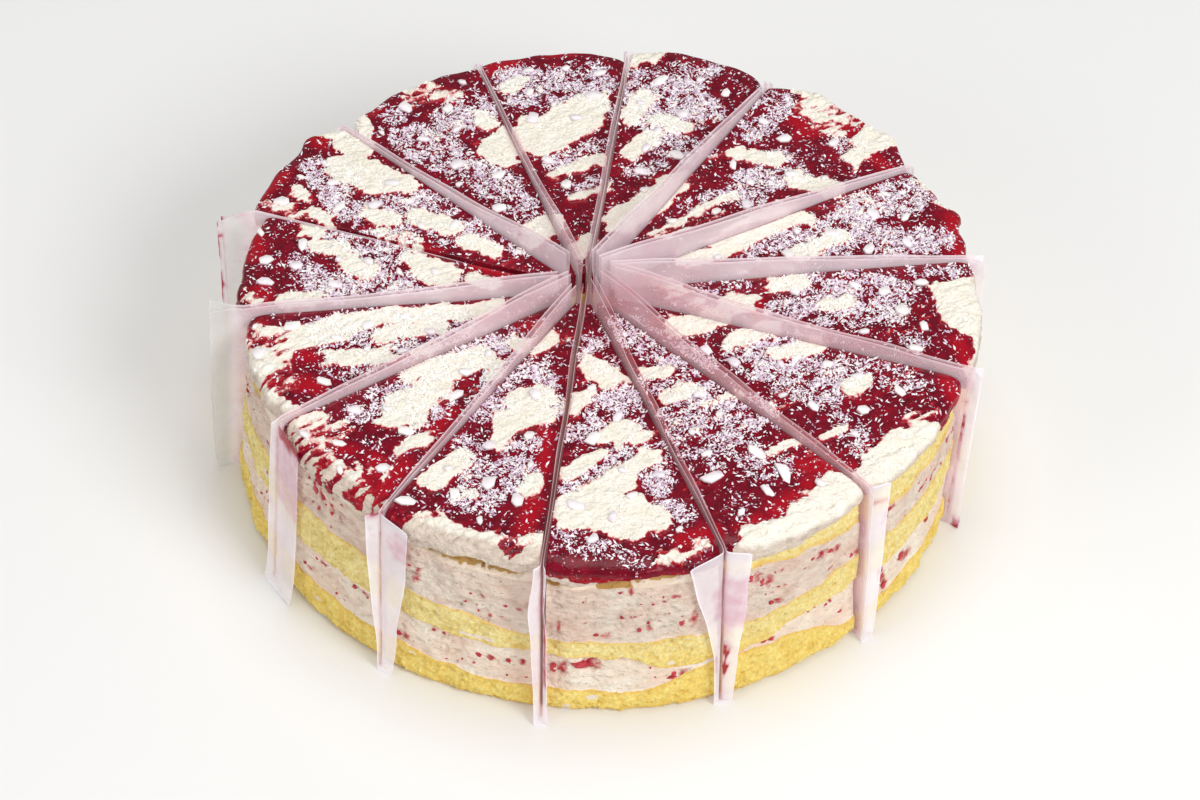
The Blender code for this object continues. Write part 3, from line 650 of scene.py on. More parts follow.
FLOAT, COLOUR, VECTOR = "NodeSocketFloat", "NodeSocketColor", "NodeSocketVector"
GEOMETRY = "NodeSocketGeometry"
print("node helpers ready")

# %% Mottle: two colours drifting into each other


def make_mottle():
    tree, given, result = node_group(
        "mottle", "ShaderNodeTree",
        (("Place", VECTOR), ("Size", FLOAT), ("First", COLOUR), ("Second", COLOUR), ("Contrast", FLOAT)),
        (("Color", COLOUR),),
    )
    scale = add_math(tree, "DIVIDE", 1.0, given["Size"])
    texture = add_noise(tree, given["Place"], scale, 4.0)
    low = add_math(tree, "SUBTRACT", 0.5, given["Contrast"])
    high = add_math(tree, "ADD", 0.5, given["Contrast"])
    mask = add_node(tree, "ShaderNodeMapRange", {"Value": texture, "From Min": low, "From Max": high})
    colour = add_mix(tree, mask["Result"], given["First"], given["Second"])
    link(tree, colour, result["Color"])
    return tree


MOTTLE = make_mottle()
print("group:", MOTTLE.name)

# %% Pores: small holes as a mask, and their depth


def make_pores():
    tree, given, result = node_group(
        "pores", "ShaderNodeTree", (("Place", VECTOR), ("Size", FLOAT), ("Share", FLOAT)),
        (("Mask", FLOAT), ("Height", FLOAT)),
    )
    scale = add_math(tree, "DIVIDE", 1.0, given["Size"])
    warp = add_node(tree, "ShaderNodeTexNoise", {"Vector": given["Place"], "Scale": scale, "Detail": 2.0})
    shift = add_node(
        tree, "ShaderNodeVectorMath", {0: warp["Color"], "Scale": given["Size"]}, operation="SCALE"
    )
    place = add_node(
        tree, "ShaderNodeVectorMath", {0: given["Place"], 1: shift["Vector"]}, operation="ADD"
    )
    cells = add_node(tree, "ShaderNodeTexVoronoi", {"Vector": place["Vector"], "Scale": scale})
    reach = add_math(tree, "MULTIPLY", given["Share"], 1.3)
    inside = add_node(
        tree, "ShaderNodeMapRange",
        {"Value": cells["Distance"], "From Min": reach, "From Max": 0.05},
    )
    draw = add_node(tree, "ShaderNodeSeparateColor", {0: cells["Color"]})[0]
    mask = add_math(tree, "MULTIPLY", inside["Result"], add_map(tree, draw, 0.35, 0.6))
    link(tree, mask, result["Mask"])
    link(tree, add_math(tree, "SUBTRACT", 1.0, mask), result["Height"])
    return tree


PORES = make_pores()
print("group:", PORES.name)

# %% [markdown]
# ## The finishes
# All patterns read Object coordinates, so one pattern runs on through neighbouring layers. Where the
# finish changes from place to place, as between jam and cream, it follows the value that the mesh carries.

# %% A material and its first nodes


def new_material(name, **sockets):
    material = bpy.data.materials.new(name)
    material.use_nodes = True
    tree = material.node_tree
    shader = tree.nodes["Principled BSDF"]
    for label, value in sockets.items():
        shader.inputs[label.replace("_", " ")].default_value = value
    place = tree.nodes.new("ShaderNodeTexCoord").outputs["Object"]
    return material, tree, shader.inputs, place


def add_group(tree, group, **values):
    return add_node(tree, "ShaderNodeGroup", values, node_tree=group)


def mottle(tree, place, size, first, second, contrast):
    """A colour that drifts between two, in swells of a size in metres."""
    values = {"Place": place, "Size": size, "First": first, "Second": second, "Contrast": contrast}
    return add_group(tree, MOTTLE, **values)["Color"]


def carried(tree, label):
    return add_node(tree, "ShaderNodeAttribute", attribute_name=label)["Fac"]


def stretched(tree, place, scale):
    return add_node(tree, "ShaderNodeMapping", {"Vector": place, "Scale": scale})["Vector"]


def add_bump(tree, height, distance, strength):
    values = {"Height": height, "Distance": distance, "Strength": strength}
    return add_node(tree, "ShaderNodeBump", values)["Normal"]


def paint(*srgb):
    """A colour as the eye reads it from a picture, 0 to 255, as the linear colour that a shader takes."""
    parts = [channel / 255 for channel in srgb]
    return (*[c / 12.92 if c <= 0.04045 else ((c + 0.055) / 1.055) ** 2.4 for c in parts], 1.0)


WHITE = paint(255, 255, 255)
print("ivory is", tuple(round(c, 2) for c in paint(250, 244, 230)))

# %% [markdown]
# The top carries both finishes in one skin. Deep jam is a dark wine red and shines, thin jam is a bright
# strawberry red, and a pink fringe leads over to the ivory cream, which is dull and pitted. Two materials
# would meet in a border of triangles, so one material mixes both by the cover value.

# %% Top cream and jam


def make_top_finish():
    material, tree, inputs, place = new_material(
        "cream and jam", Roughness=0.5, IOR=1.4, Specular_IOR_Level=0.3
    )
    height = add_wobble(tree, carried(tree, "cover"), add_noise(tree, place, 900.0, 3.0), 0.8)
    cream_mask = add_map(tree, height, -0.05, 0.12)
    fringe_mask = add_map(tree, height, -0.30, 0.02)
    jam = top_jam(tree, place, fringe_mask)
    cream = top_cream(tree, place, height)
    colour = add_mix(tree, cream_mask, jam, cream)
    fallen = add_math(tree, "MULTIPLY", carried(tree, "flaky"), 0.08)
    powder = add_math(tree, "ADD", add_noise(tree, place, 800.0, 2.0), fallen)
    powdered = add_map(tree, powder, 0.66, 0.74, 0.0, 0.7)
    link(tree, add_mix(tree, powdered, colour, paint(240, 220, 234)), inputs["Base Color"])
    link(tree, add_map(tree, height, -0.2, 0.25, 0.2, 0.62), inputs["Roughness"])
    pits = add_noise(tree, stretched(tree, place, (1, 1, 1.6)), 700.0, 4.0)
    depth = add_math(tree, "MULTIPLY", pits, add_map(tree, cream_mask, 0, 1, 0.15, 1.0))
    link(tree, add_bump(tree, depth, 1.3 * MM, 1.0), inputs["Normal"])
    return material


def top_jam(tree, place, fringe_mask):
    """Dark jam with tiny pink specks, which are painted highlights, and brighter where it is thin or runs
    out.
    """
    deep = mottle(tree, place, 4 * MM, paint(90, 0, 20), paint(130, 2, 32), 0.18)
    # Painted highlight: tiny pink specks stand in for the glints on the wet jam.
    highlight_specks = add_group(tree, PORES, Place=place, Size=0.9 * MM, Share=0.34)["Mask"]
    deep = lay_over(tree, highlight_specks, 0.2, deep, paint(196, 60, 88))
    thin = add_math(tree, "MULTIPLY", carried(tree, "thin"), 0.75)
    return add_mix(tree, add_math(tree, "MAXIMUM", thin, fringe_mask), deep, paint(178, 5, 28))


def top_cream(tree, place, height):
    """Ivory cream with a few seeds, pink where it thins out, and greyer, partly as painted shade, where the
    side climbs up.
    """
    ivory = mottle(tree, place, 5 * MM, paint(255, 251, 240), paint(249, 241, 224), 0.2)
    seeds = add_group(tree, PORES, Place=place, Size=3.4 * MM, Share=0.10)["Mask"]
    ivory = lay_over(tree, seeds, 0.5, ivory, paint(150, 112, 84))
    pink = add_mix(tree, add_map(tree, height, 0.05, 0.34), paint(240, 150, 152), ivory)
    upright = stretched(tree, place, (1, 1, 2.2))
    # Partly painted shade: the side is berry cream, a little greyer, because the upright wall gets less
    # light than the top.
    side = mottle(tree, upright, 4 * MM, paint(236, 222, 206), paint(210, 190, 174), 0.2)
    return add_mix(tree, carried(tree, "side"), pink, side)


TOP_FINISH = make_top_finish()
print("finish:", TOP_FINISH.name)

# %% [markdown]
# The berry cream in the side is a pale ivory with a pink blush and tiny dark seeds, greyer in the upper
# layer, and red where a piece of berry sits. Seeds could be real grains, but at their size a mask is
# enough.

# %% Berry cream


def make_berry_cream():
    material, tree, inputs, place = new_material("berry cream", Roughness=0.7, IOR=1.4)
    level = add_node(tree, "ShaderNodeSeparateXYZ", {"Vector": place})["Z"]
    upper = add_map(tree, level, 30 * MM, 40 * MM)
    first = add_mix(tree, upper, paint(255, 246, 230), paint(243, 230, 214))
    second = add_mix(tree, upper, paint(243, 228, 208), paint(222, 204, 188))
    body = mottle(tree, stretched(tree, place, (1, 1, 2.0)), 5 * MM, first, second, 0.2)
    blush = mottle(tree, stretched(tree, place, (1, 1, 1.5)), 16 * MM, WHITE, paint(252, 236, 232), 0.15)
    body = add_mix(tree, 1.0, body, blush, "MULTIPLY")
    seeds = add_group(tree, PORES, Place=place, Size=2.4 * MM, Share=0.13)["Mask"]
    body = lay_over(tree, seeds, 0.7, body, paint(132, 76, 62))
    stain = add_wobble(tree, carried(tree, "stain"), add_noise(tree, place, 600.0, 3.0))
    stained = add_mix(tree, add_map(tree, stain, 0.25, 0.85), body, paint(186, 50, 62))
    link(tree, stained, inputs["Base Color"])
    pits = add_noise(tree, stretched(tree, place, (1, 1, 1.7)), 650.0, 5.0)
    link(tree, add_bump(tree, pits, 1.2 * MM, 1.0), inputs["Normal"])
    return material


BERRY_CREAM = make_berry_cream()
print("finish:", BERRY_CREAM.name)

# %% [markdown]
# Sponge is a soft yellow crumb full of pores, whose darker yellow is painted shade in the holes, toasted a
# little deeper at the edge of each sheet. Where the knife smeared cream over it, the mesh carries a smear
# value and the crumb disappears under the cream.

# %% Sponge


def make_sponge():
    material, tree, inputs, place = new_material(
        "sponge", Roughness=0.85, IOR=1.35, Specular_IOR_Level=0.3
    )
    level = add_node(tree, "ShaderNodeSeparateXYZ", {"Vector": place})["Z"]
    paler = add_map(tree, level, 18 * MM, 34 * MM)
    first = add_mix(tree, paler, paint(248, 230, 144), paint(244, 233, 174))
    second = add_mix(tree, paler, paint(237, 210, 116), paint(234, 217, 146))
    body = mottle(tree, place, 6 * MM, first, second, 0.16)
    crumb = mottle(tree, place, 1.1 * MM, WHITE, paint(244, 230, 200), 0.12)
    body = add_mix(tree, 1.0, body, crumb, "MULTIPLY")
    body = lay_over(tree, carried(tree, "toast"), 0.55, body, paint(232, 184, 92))
    # Partly painted shade: torn patches get tan, the torn crumb's colour darkened for the shade of the
    # sunken hollow.
    body = lay_over(tree, carried(tree, "tan"), 0.8, body, paint(182, 140, 86))
    large = add_group(tree, PORES, Place=place, Size=2.6 * MM, Share=0.3)
    small = add_group(tree, PORES, Place=place, Size=1.2 * MM, Share=0.38)
    pores = add_math(tree, "MAXIMUM", large["Mask"], add_math(tree, "MULTIPLY", small["Mask"], 0.5))
    # Painted shade: the pores are painted a darker yellow for the shade inside the holes.
    body = lay_over(tree, pores, 0.24, body, paint(212, 178, 96))
    smear = add_wobble(tree, carried(tree, "smear"), add_noise(tree, place, 500.0, 3.0))
    smeared = add_mix(tree, add_map(tree, smear, 0.35, 0.6), body, paint(238, 222, 204))
    link(tree, smeared, inputs["Base Color"])
    height = add_math(tree, "ADD", large["Height"], add_math(tree, "MULTIPLY", small["Height"], 0.3))
    link(tree, add_bump(tree, height, 0.5 * MM, 0.8), inputs["Normal"])
    return material


SPONGE = make_sponge()
print("finish:", SPONGE.name)

# %% [markdown]
# ## Berry pieces in the wall
# The knife cut through bits of strawberry in the cream. The plain ones are listed and each portion
# gets a few more at random, by a seed, so they lie the same each time. They stain the cream round them.

# %% Where the berry bits sit
# Angle in degrees, then height on the wall, width and height of the bit in millimetres
MARKED_BITS = (
    (265.5, 22, 2.6, 5), (269.5, 25, 6, 4.6), (265, 44, 1.2, 4), (272, 40, 2.4, 1.6), (282, 58, 3, 1.5),
    (285, 45, 2.2, 6), (276, 49, 2, 1.2), (275.5, 63, 1.6, 3), (284, 15, 4, 1.3), (295, 57, 2.2, 5),
    (297, 53, 2.4, 4.4), (306, 55, 4, 3), (309, 54, 3, 2), (294, 73, 1.6, 1.2), (301, 72.5, 1.6, 1.2),
    (310, 30, 4, 1.2), (319, 25, 2, 3), (320, 20, 2, 4), (321, 14, 2.2, 4), (325, 21, 3, 4),
    (327, 18, 3, 3), (319, 52, 2, 4), (333, 24, 3, 2.4), (338, 54, 3, 2), (223.5, 62, 2.6, 5),
    (220.5, 20, 2.4, 2), (224, 29, 2, 2), (232.5, 28, 2, 2), (206, 34, 2, 5), (208, 24, 2, 4),
    (240.5, 18, 2.6, 2.4), (259.5, 22, 2, 2), (253.5, 52, 1.6, 1.2), (247, 27, 1.6, 1.2),
    (228, 58, 1.6, 2),
)
LOOSE_BITS_PER_PORTION = 12
LARGEST_LOOSE_BIT = 2.6
BITS_SEED = 5
# Which layers get the loose ones, each between its two tops; the upper one twice as often
BIT_LAYERS = {"low": ("low_sponge", "low_cream"), "high": ("middle_sponge", "high_cream")}


def berry_bits():
    """All the bits, the listed ones first, as rows of angle, height, width and height of the bit."""
    dice = random.Random(BITS_SEED)
    bits = list(MARKED_BITS)
    for portion in PORTIONS:
        for _ in range(LOOSE_BITS_PER_PORTION):
            angle = math.degrees(portion.angle(dice.uniform(0.05, 0.95)))
            between = BIT_LAYERS[dice.choice(("low", "high", "high"))]
            low, high = (float(layer_top(name, np.array(angle))) / MM for name in between)
            width = dice.uniform(0.5, 1.0) ** 2 * LARGEST_LOOSE_BIT
            height = dice.uniform(low + 1, max(high - 1, low + 1.5))
            bits.append((angle, height, width, width * dice.uniform(0.5, 1.1)))
    return np.array(bits)


BITS = berry_bits()
STAIN_REACH, STAIN_STRENGTH = 0.9, 0.8


def stain_at(angle, height):
    """How red the cream is round the bits, from 0 to 1, for angles in radians and heights in metres."""
    total = np.zeros(angle.shape)
    for bit_angle, bit_height, width, tall in BITS:
        turn = (angle - math.radians(bit_angle) + math.pi) % math.tau - math.pi
        sideways = turn * CAKE_RADIUS / MM / (STAIN_REACH * width)
        upwards = (height / MM - bit_height) / (STAIN_REACH * tall)
        total += STAIN_STRENGTH * np.exp(-(sideways**2 + upwards**2))
    return np.clip(total, 0, 1)


print("berry bits:", len(BITS))

# %% [markdown]
# ## The wall's relief
# Cream is torn in shallow level pits by the knife. Crumb is rougher and open. The pits are real hollows in
# the mesh, because a bump in the finish alone would leave a straight outline. Both fade out towards the
# edges of a layer, so that neighbouring layers keep one common edge.

# %% Relief of cream and crumb
# Sizes and seeds of the bumps that make a layer's edge ragged
EDGE_BUMPS = ((9 * MM, 51), (3.4 * MM, 52), (1.4 * MM, 53))


def cream_relief(places):
    body = 0.45 * rough(places, (6 * MM, 6 * MM, 2.4 * MM), 21)
    pits = smooth_step((bumps(places, (3.0 * MM, 3.0 * MM, 1.4 * MM), 25) - 0.22) / 0.3)
    small = 0.4 * bumps(places, (1.5 * MM, 1.5 * MM, 1.0 * MM), 26)
    return (body - 0.95 * pits + small) * MM


def crumb_relief(places):
    body = 0.45 * rough(places, (3.4 * MM, 3.4 * MM, 2.4 * MM), 31)
    holes = smooth_step((bumps(places, (2.2 * MM, 2.2 * MM, 1.7 * MM), 35) - 0.2) / 0.3)
    small = 0.42 * bumps(places, 1.3 * MM, 36)
    return (body - 0.8 * holes + small) * MM


def common_relief(places):
    """Low swells that run on from layer to layer."""
    return 0.35 * MM * bumps(places, 8 * MM, 41)


def layer_edges(portion):
    """Height of the foot and of each layer's ragged top below the rim, for every column of the wall."""
    angle = portion.angle(portion.across)
    flat = CAKE_RADIUS * way(angle)
    edges = [np.zeros_like(angle)]
    for number, layer in enumerate(LAYER_TOPS):
        spot = raised(flat, 0.1 * number)
        large, middle, small = (bumps(spot, size, seed) for size, seed in EDGE_BUMPS)
        ragged = 0.8 * large + 0.5 * middle + 0.3 * small
        top = layer_top(layer, np.degrees(angle)) + ragged * MM
        edges.append(np.maximum(top, edges[-1] + THINNEST_LAYER))
    return edges


def bulge_at(height, edges):
    """How far the wall stands out: each layer's own amount, with a short step from one to the next."""
    bulge = np.full(height.shape, LAYER_BULGE[0])
    for number in range(1, len(LAYERS)):
        share = smooth_step((height - edges[number]) / LAYER_STEP + 0.5)
        bulge = blend(bulge, LAYER_BULGE[number], share)
    foot = 1.0 - np.clip(height / FOOT_HEIGHT, 0, 1)
    return blend(bulge, -FOOT_INSET, foot)


print("bumps in a layer's edge:", len(EDGE_BUMPS))

# %% [markdown]
# ## Smears and toast
# On the left half of the front the thin upper sponge lies behind cream and shows only in torn, sunken
# patches, painted tan: partly the torn crumb's colour, partly painted shade of the hollow. A few pale
# smears cross the other sponges too. Toast follows the edges of each sheet. All of it is values on the
# mesh, so that finish and relief can both follow them.

# %% Smear and toast values
# Torn patches: angle and half width in degrees, height and half height in millimetres
BARE_PATCHES = (
    (249.5, 6.5, 66.5, 2.2), (256.5, 4, 65, 1.9), (264.2, 3, 65.2, 2.8), (273, 3, 65, 2.6),
    (279, 5, 67.2, 2.2), (286.5, 2.2, 67, 2),
)
# The thin sponge is hidden from here to there, and fades over these degrees
COVERED_FROM, COVERED_TO = 200.0, 291.0
COVER_FADES_IN, COVER_FADES_OUT = 4, 3
TORN_DEPTH = 2.6 * MM
TOAST_DEPTH = 1.6 * MM


def covered(angle):
    """1 where the thin upper sponge lies behind cream."""
    degrees = np.degrees(angle) % 360
    begun = smooth_step((degrees - COVERED_FROM) / COVER_FADES_IN)
    return begun * smooth_step((COVERED_TO - degrees) / COVER_FADES_OUT)


def smear_at(angle, places, layer):
    """From 0, bare crumb, to 1, crumb under cream."""
    degrees = np.degrees(angle) % 360
    loose = smooth_step((bumps(places, (9 * MM, 9 * MM, 4 * MM), 61) - 0.6) / 0.3)
    if layer != "thin_sponge":
        return loose * 0.9
    hidden = covered(angle)
    ragged = 0.5 * bumps(places, 3.4 * MM, 62) + 0.4 * bumps(places, 1.5 * MM, 63)
    for middle, half, level, tall in BARE_PATCHES:
        inside = 1 - ((degrees - middle) / half) ** 2 - ((places[..., 2] / MM - level) / tall) ** 2
        hidden = hidden * (1 - smooth_step((inside + ragged) / 0.25))
    return np.maximum(hidden, 0.6 * loose)


def toast_at(height, low, high):
    """Deeper colour within about a millimetre of a sheet's lower and upper edge."""
    near = np.minimum(height - low, high - height)
    return 1.0 - smooth_step(near / TOAST_DEPTH)


print("bare patches:", len(BARE_PATCHES))

# %% [markdown]
# ## The wall of a layer
# Rows of points climb from the layer's lower edge to its upper edge. One tall wall would put cream and
# crumb in one mesh, so each layer has its own. The rows at an edge are the same points in both neighbours.

# %% Wall rows
# The relief fades out over these distances, towards a cut and towards a layer's edge
CUT_FADE, EDGE_FADE = 1.4 * MM, 0.9 * MM
# The caps' middle points lie at this share of the radius
CAP_MIDDLE = 0.6


def wall_rows(portion, edges, number):
    """Points and values of one layer's wall, row by row."""
    layer = LAYERS[number]
    low, high = edges[number], edges[number + 1]
    count = max(2, math.ceil((high - low).max() / GRID))
    share = np.linspace(0, 1, count + 1)[:, None]
    height = blend(low, high, share)
    across = np.broadcast_to(portion.across, height.shape)
    distance = portion.side_distance(across, height, bulge_at(height, edges))
    flat = portion.place(across, distance)
    places = raised(flat, height)
    angle = np.arctan2(flat[..., 1], flat[..., 0])
    near_edge = np.minimum(height - low, high - height)
    cut_fade = smooth_step(portion.from_cuts(across, distance) / CUT_FADE)
    smear = smear_at(angle, places, layer)
    if "sponge" in layer:
        relief = blend(crumb_relief(places), cream_relief(places), smear)
        if layer == "thin_sponge":
            relief = relief - TORN_DEPTH * (1 - smear) * covered(angle)
    else:
        relief = cream_relief(places)
    relief = relief * smooth_step(near_edge / EDGE_FADE) + common_relief(places)
    flat = portion.place(across, distance + relief * cut_fade)
    values = {
        "smear": smear,
        "toast": toast_at(height, low, high),
        # Torn patches: the crumb's tan, darkened as painted shade of the hollow.
        "tan": covered(angle) if layer == "thin_sponge" else 0.0 * height,
        "stain": stain_at(angle, height),
    }
    return raised(flat, height), values


def tip_points(portion, height):
    """The blunt tip's two corners at a height, the first cut's one first."""
    ends = portion.place(np.array((0.0, 1.0)), np.array((TIP_LENGTH, TIP_LENGTH)))
    return raised(ends, height)


def cap_middle(portion, heights):
    """The one point in which a cap's triangles meet."""
    spot = portion.place(np.array(0.5), np.array(CAP_MIDDLE * CAKE_RADIUS))
    return np.array((spot[0], spot[1], heights.mean()))


print("rows are", GRID / MM, "mm apart")

# %% [markdown]
# ## The five lower layers
# A wall grid, a cap below, a cap above, two cut faces and the tip close each body. The caps are fans round
# one middle point, because nobody sees them.

# %% Build the lower layers
CREAM_LAYERS = ("low_cream", "high_cream")
sponge_walls = []


def lower_layer(portion, edges, number):
    """One closed body, with the points and values of its wall."""
    shell = Shell()
    rows, values = wall_rows(portion, edges, number)
    wall = shell.add(rows, **values)
    low, high = edges[number], edges[number + 1]
    foot = shell.add(tip_points(portion, low.mean()))
    head = shell.add(tip_points(portion, high.mean()))
    below = shell.add(cap_middle(portion, low)[None])[0]
    above = shell.add(cap_middle(portion, high)[None])[0]
    shell.patch(wall)
    ring_below = np.concatenate((wall[0], foot[::-1], wall[0, :1]))
    ring_above = np.concatenate((wall[-1], head[::-1], wall[-1, :1]))
    shell.fan(below, ring_below[::-1])
    shell.fan(above, ring_above)
    shell.fan(foot[0], (*wall[:, 0], head[0]))
    shell.fan(foot[1], (head[1], *wall[::-1, -1]))
    shell.quads(foot[1:], foot[:1], head[:1], head[1:])
    return shell, rows, values


EDGES = {}
for portion in PORTIONS:
    edges = layer_edges(portion)
    EDGES[portion.name] = edges
    edges.append(np.full(len(portion.across), CAKE_HEIGHT - RIM_DROP))
    for number, layer in enumerate(LAYERS[:-1]):
        shell, rows, values = lower_layer(portion, edges, number)
        name = f"{portion.name}_{layer}"
        if layer in CREAM_LAYERS:
            add_piece(name, shell.mesh(name), BERRY_CREAM, "cream", portion.name)
        else:
            add_piece(name, shell.mesh(name), SPONGE, "sponge", portion.name)
            sponge_walls.append((rows, values))
print("lower layers:", len(PORTIONS) * (len(LAYERS) - 1))

# %% [markdown]
# ## The top layer
# Its wall climbs to the rim, and the top runs inwards in rings from there. Towards the tip a ring would
# crowd its points, so the number of columns halves three times on the way. Cream stands a little above the
# jam. A displaced plane would do for the top alone, but these rings end in the very points of rim, cuts
# and tip.

# %% Height and values of the top
CREAM_RISE = 0.85 * MM
TOP_SWELL, SWELL_SCALE, SWELL_LEVEL = 0.8 * MM, 30.0, 8.0
# The relief fades out over these distances, towards the rim and towards a cut
TOP_RIM_FADE, TOP_CUT_FADE = 1.5 * MM, 1.0 * MM
# Nearer to the rim than this the cream is torn more, by this much, and fading in over this distance
TORN_FROM, TORN_MORE, TORN_FADE = 9 * MM, 1.4, 4 * MM
# Up to this height, in millimetres, the cream has the side's colour, and fades over this height
SIDE_TOP, SIDE_FADE = 72.6, 1.6
DRIP_FADE = 1.2 * MM
# Jam that runs down is this thin, from this far below the rim
RUN_THINNESS, THIN_BELOW = 0.8, 2.5 * MM
# Where jam runs down over the rim: angle, half width in degrees and how far in millimetres
DRIPS = (
    (268, 3, 1.5), (274, 3, 2.5), (278.5, 2.6, 4.5), (283.5, 2.2, 5.5), (287.5, 1.5, 6),
    (223, 3.5, 2.5), (233, 2, 1.5), (338, 5, 3),
)
# Where the greyer cream of the side, its grey partly painted shade, climbs over the rim: angle, half width
# and millimetres higher
SIDE_RISES = ((250, 14, 9.0), (222, 14, 7.0), (272, 7, 2.0), (290, 3, 4.0))


def top_height(x, y, from_rim, from_cut, cover_value):
    """The top's height: level, rounded off at the rim, with torn cream above calm jam."""
    fade = smooth_step(from_rim / TOP_RIM_FADE) * smooth_step(from_cut / TOP_CUT_FADE)
    back = smooth_step(y / CAKE_RADIUS)
    slope = 1 - np.sqrt(1 - np.clip(1 - from_rim / blend(RIM_WIDTH, BACK_RIM_WIDTH, back), 0, 1) ** 2)
    rounded = blend(RIM_DROP, BACK_RIM_DROP, back) * slope
    swell = TOP_SWELL * shared_noise(stack(SWELL_SCALE * x, SWELL_SCALE * y, SWELL_LEVEL))
    spot = drag_frame(x, y)
    cream = smooth_step((cover_value + 0.3) / 0.6)
    pits = smooth_step((bumps(spot, (3 * MM, 1.4 * MM, 1), 76) - 0.35) / 0.3)
    torn = 0.30 * rough(spot, (6 * MM, 2.2 * MM, 1), 73) - 0.35 * pits
    torn = torn * (1 + TORN_MORE * smooth_step((TORN_FROM - from_rim) / TORN_FADE))
    calm = 0.14 * bumps(spot, 5 * MM, 77)
    relief = CREAM_RISE * (cream - 0.4) + MM * blend(calm, torn, cream)
    return CAKE_HEIGHT - rounded + swell + relief * fade


def side_value(x, y, height):
    """1 where the cream belongs to the greyer, berry-flecked side, fading out just above the rim. Its grey
    is partly painted shade.
    """
    spot = stack(x, y, height)
    edge = SIDE_TOP + 1.4 * bumps(spot, 5 * MM, 78) + 0.8 * bumps(spot, 1.8 * MM, 79)
    degrees = np.degrees(np.arctan2(y, x)) % 360
    uneven = 1 + 0.5 * bumps(spot, 3 * MM, 80)
    for middle, half, higher in SIDE_RISES:
        edge = edge + higher * np.exp(-(((degrees - middle) / half) ** 2)) * uneven
    return smooth_step((edge - height / MM) / SIDE_FADE + 0.5)


def drip_length(angle):
    """How far down the jam runs from the rim."""
    places = stack(CAKE_RADIUS * np.cos(angle), CAKE_RADIUS * np.sin(angle), 0.0)
    length = 1.4 + 1.2 * bumps(places, 5 * MM, 81) + 1.0 * bumps(places, 2.0 * MM, 82)
    uneven = 1 + 0.4 * bumps(places, 1.8 * MM, 83)
    for middle, half, extra in DRIPS:
        turn = (np.degrees(angle) - middle + 180) % 360 - 180
        length = length + extra * np.exp(-((turn / half) ** 2)) * uneven
    return np.maximum(length, 0.2) * MM


print("drips:", len(DRIPS))

# %% Rings of the top


def top_rings(portion, rim):
    """Places from the tip out to just inside the rim, in zones that share one set of columns."""
    reach = np.linalg.norm(rim[:, :2] - portion.point, axis=1)
    count = round((reach.mean() - TIP_LENGTH) / GRID)
    shares = np.arange(count) / count
    distances = blend(TIP_LENGTH, reach.mean(), shares)
    zones = []
    inner_end = 0.0
    for outer_end, step in RING_STEPS:
        chosen = shares[(distances >= inner_end) & (distances < outer_end)][:, None]
        inner_end = outer_end
        across = portion.across[::step]
        distance = blend(TIP_LENGTH, reach[::step], chosen)
        across = np.broadcast_to(across, distance.shape)
        flat = portion.place(across, distance)
        x, y = np.moveaxis(flat, -1, 0)
        from_rim = reach[::step] - distance
        value = cover(x, y, from_rim)
        height = top_height(x, y, from_rim, portion.from_cuts(across, distance), value)
        side = side_value(x, y, height) * smooth_step((0.8 * RIM_WIDTH - from_rim) / (2 * MM))
        values = {"cover": value, "thin": thin_jam(x, y), "flaky": flaky(x, y) * (1 - side), "side": side}
        zones.append((stack(x, y, height), values))
    return zones


def join_zones(shell, inner, outer):
    """Three triangles for each wide inner cell, where the next ring has twice the columns."""
    shell.triangles(inner[:-1], outer[:-1:2], outer[1::2])
    shell.triangles(inner[:-1], outer[1::2], inner[1:])
    shell.triangles(inner[1:], outer[1::2], outer[2::2])


print("ring zones:", len(RING_STEPS))

# %% The top layers


def top_layer(portion, edges):
    """The closed top layer of a portion, and the grids of its top for what is scattered there."""
    shell = Shell()
    level = np.full(len(portion.across), edges[-1].mean())
    corner = portion.side_distance(portion.across, level, LAYER_BULGE[-1])
    flat = portion.place(portion.across, corner)
    zero = np.zeros(len(portion.across))
    rim_cover = cover(*flat.T, zero)
    edges = [*edges[:-1], top_height(*flat.T, zero, zero, rim_cover)]
    rows, _ = wall_rows(portion, edges, len(LAYERS) - 1)
    x, y, height = np.moveaxis(rows, -1, 0)
    below_rim = edges[-1] - height
    run = smooth_step((below_rim - drip_length(np.arctan2(y, x))) / DRIP_FADE)
    wall_cover = rim_cover + (1.0 - rim_cover) * run
    thin = np.maximum(thin_jam(x, y), RUN_THINNESS * smooth_step(below_rim / THIN_BELOW))
    wall = shell.add(rows, cover=wall_cover, side=side_value(x, y, height), thin=thin)
    shell.patch(wall)
    zones = top_rings(portion, rows[-1])
    grids = [shell.add(points, **kept) for points, kept in zones]
    first_cut, second_cut = [], []
    for number, grid in enumerate(grids):
        shell.quads(grid[:-1, :-1], grid[1:, :-1], grid[1:, 1:], grid[:-1, 1:])
        if number:
            join_zones(shell, grids[number - 1][-1], grid[0])
        first_cut.extend(grid[:, 0])
        second_cut.extend(grid[:, -1])
    shell.quads(grids[-1][-1, :-1], wall[-1, :-1], wall[-1, 1:], grids[-1][-1, 1:])
    close_top_layer(shell, portion, edges, wall, grids, np.array(first_cut), np.array(second_cut))
    return shell, zones


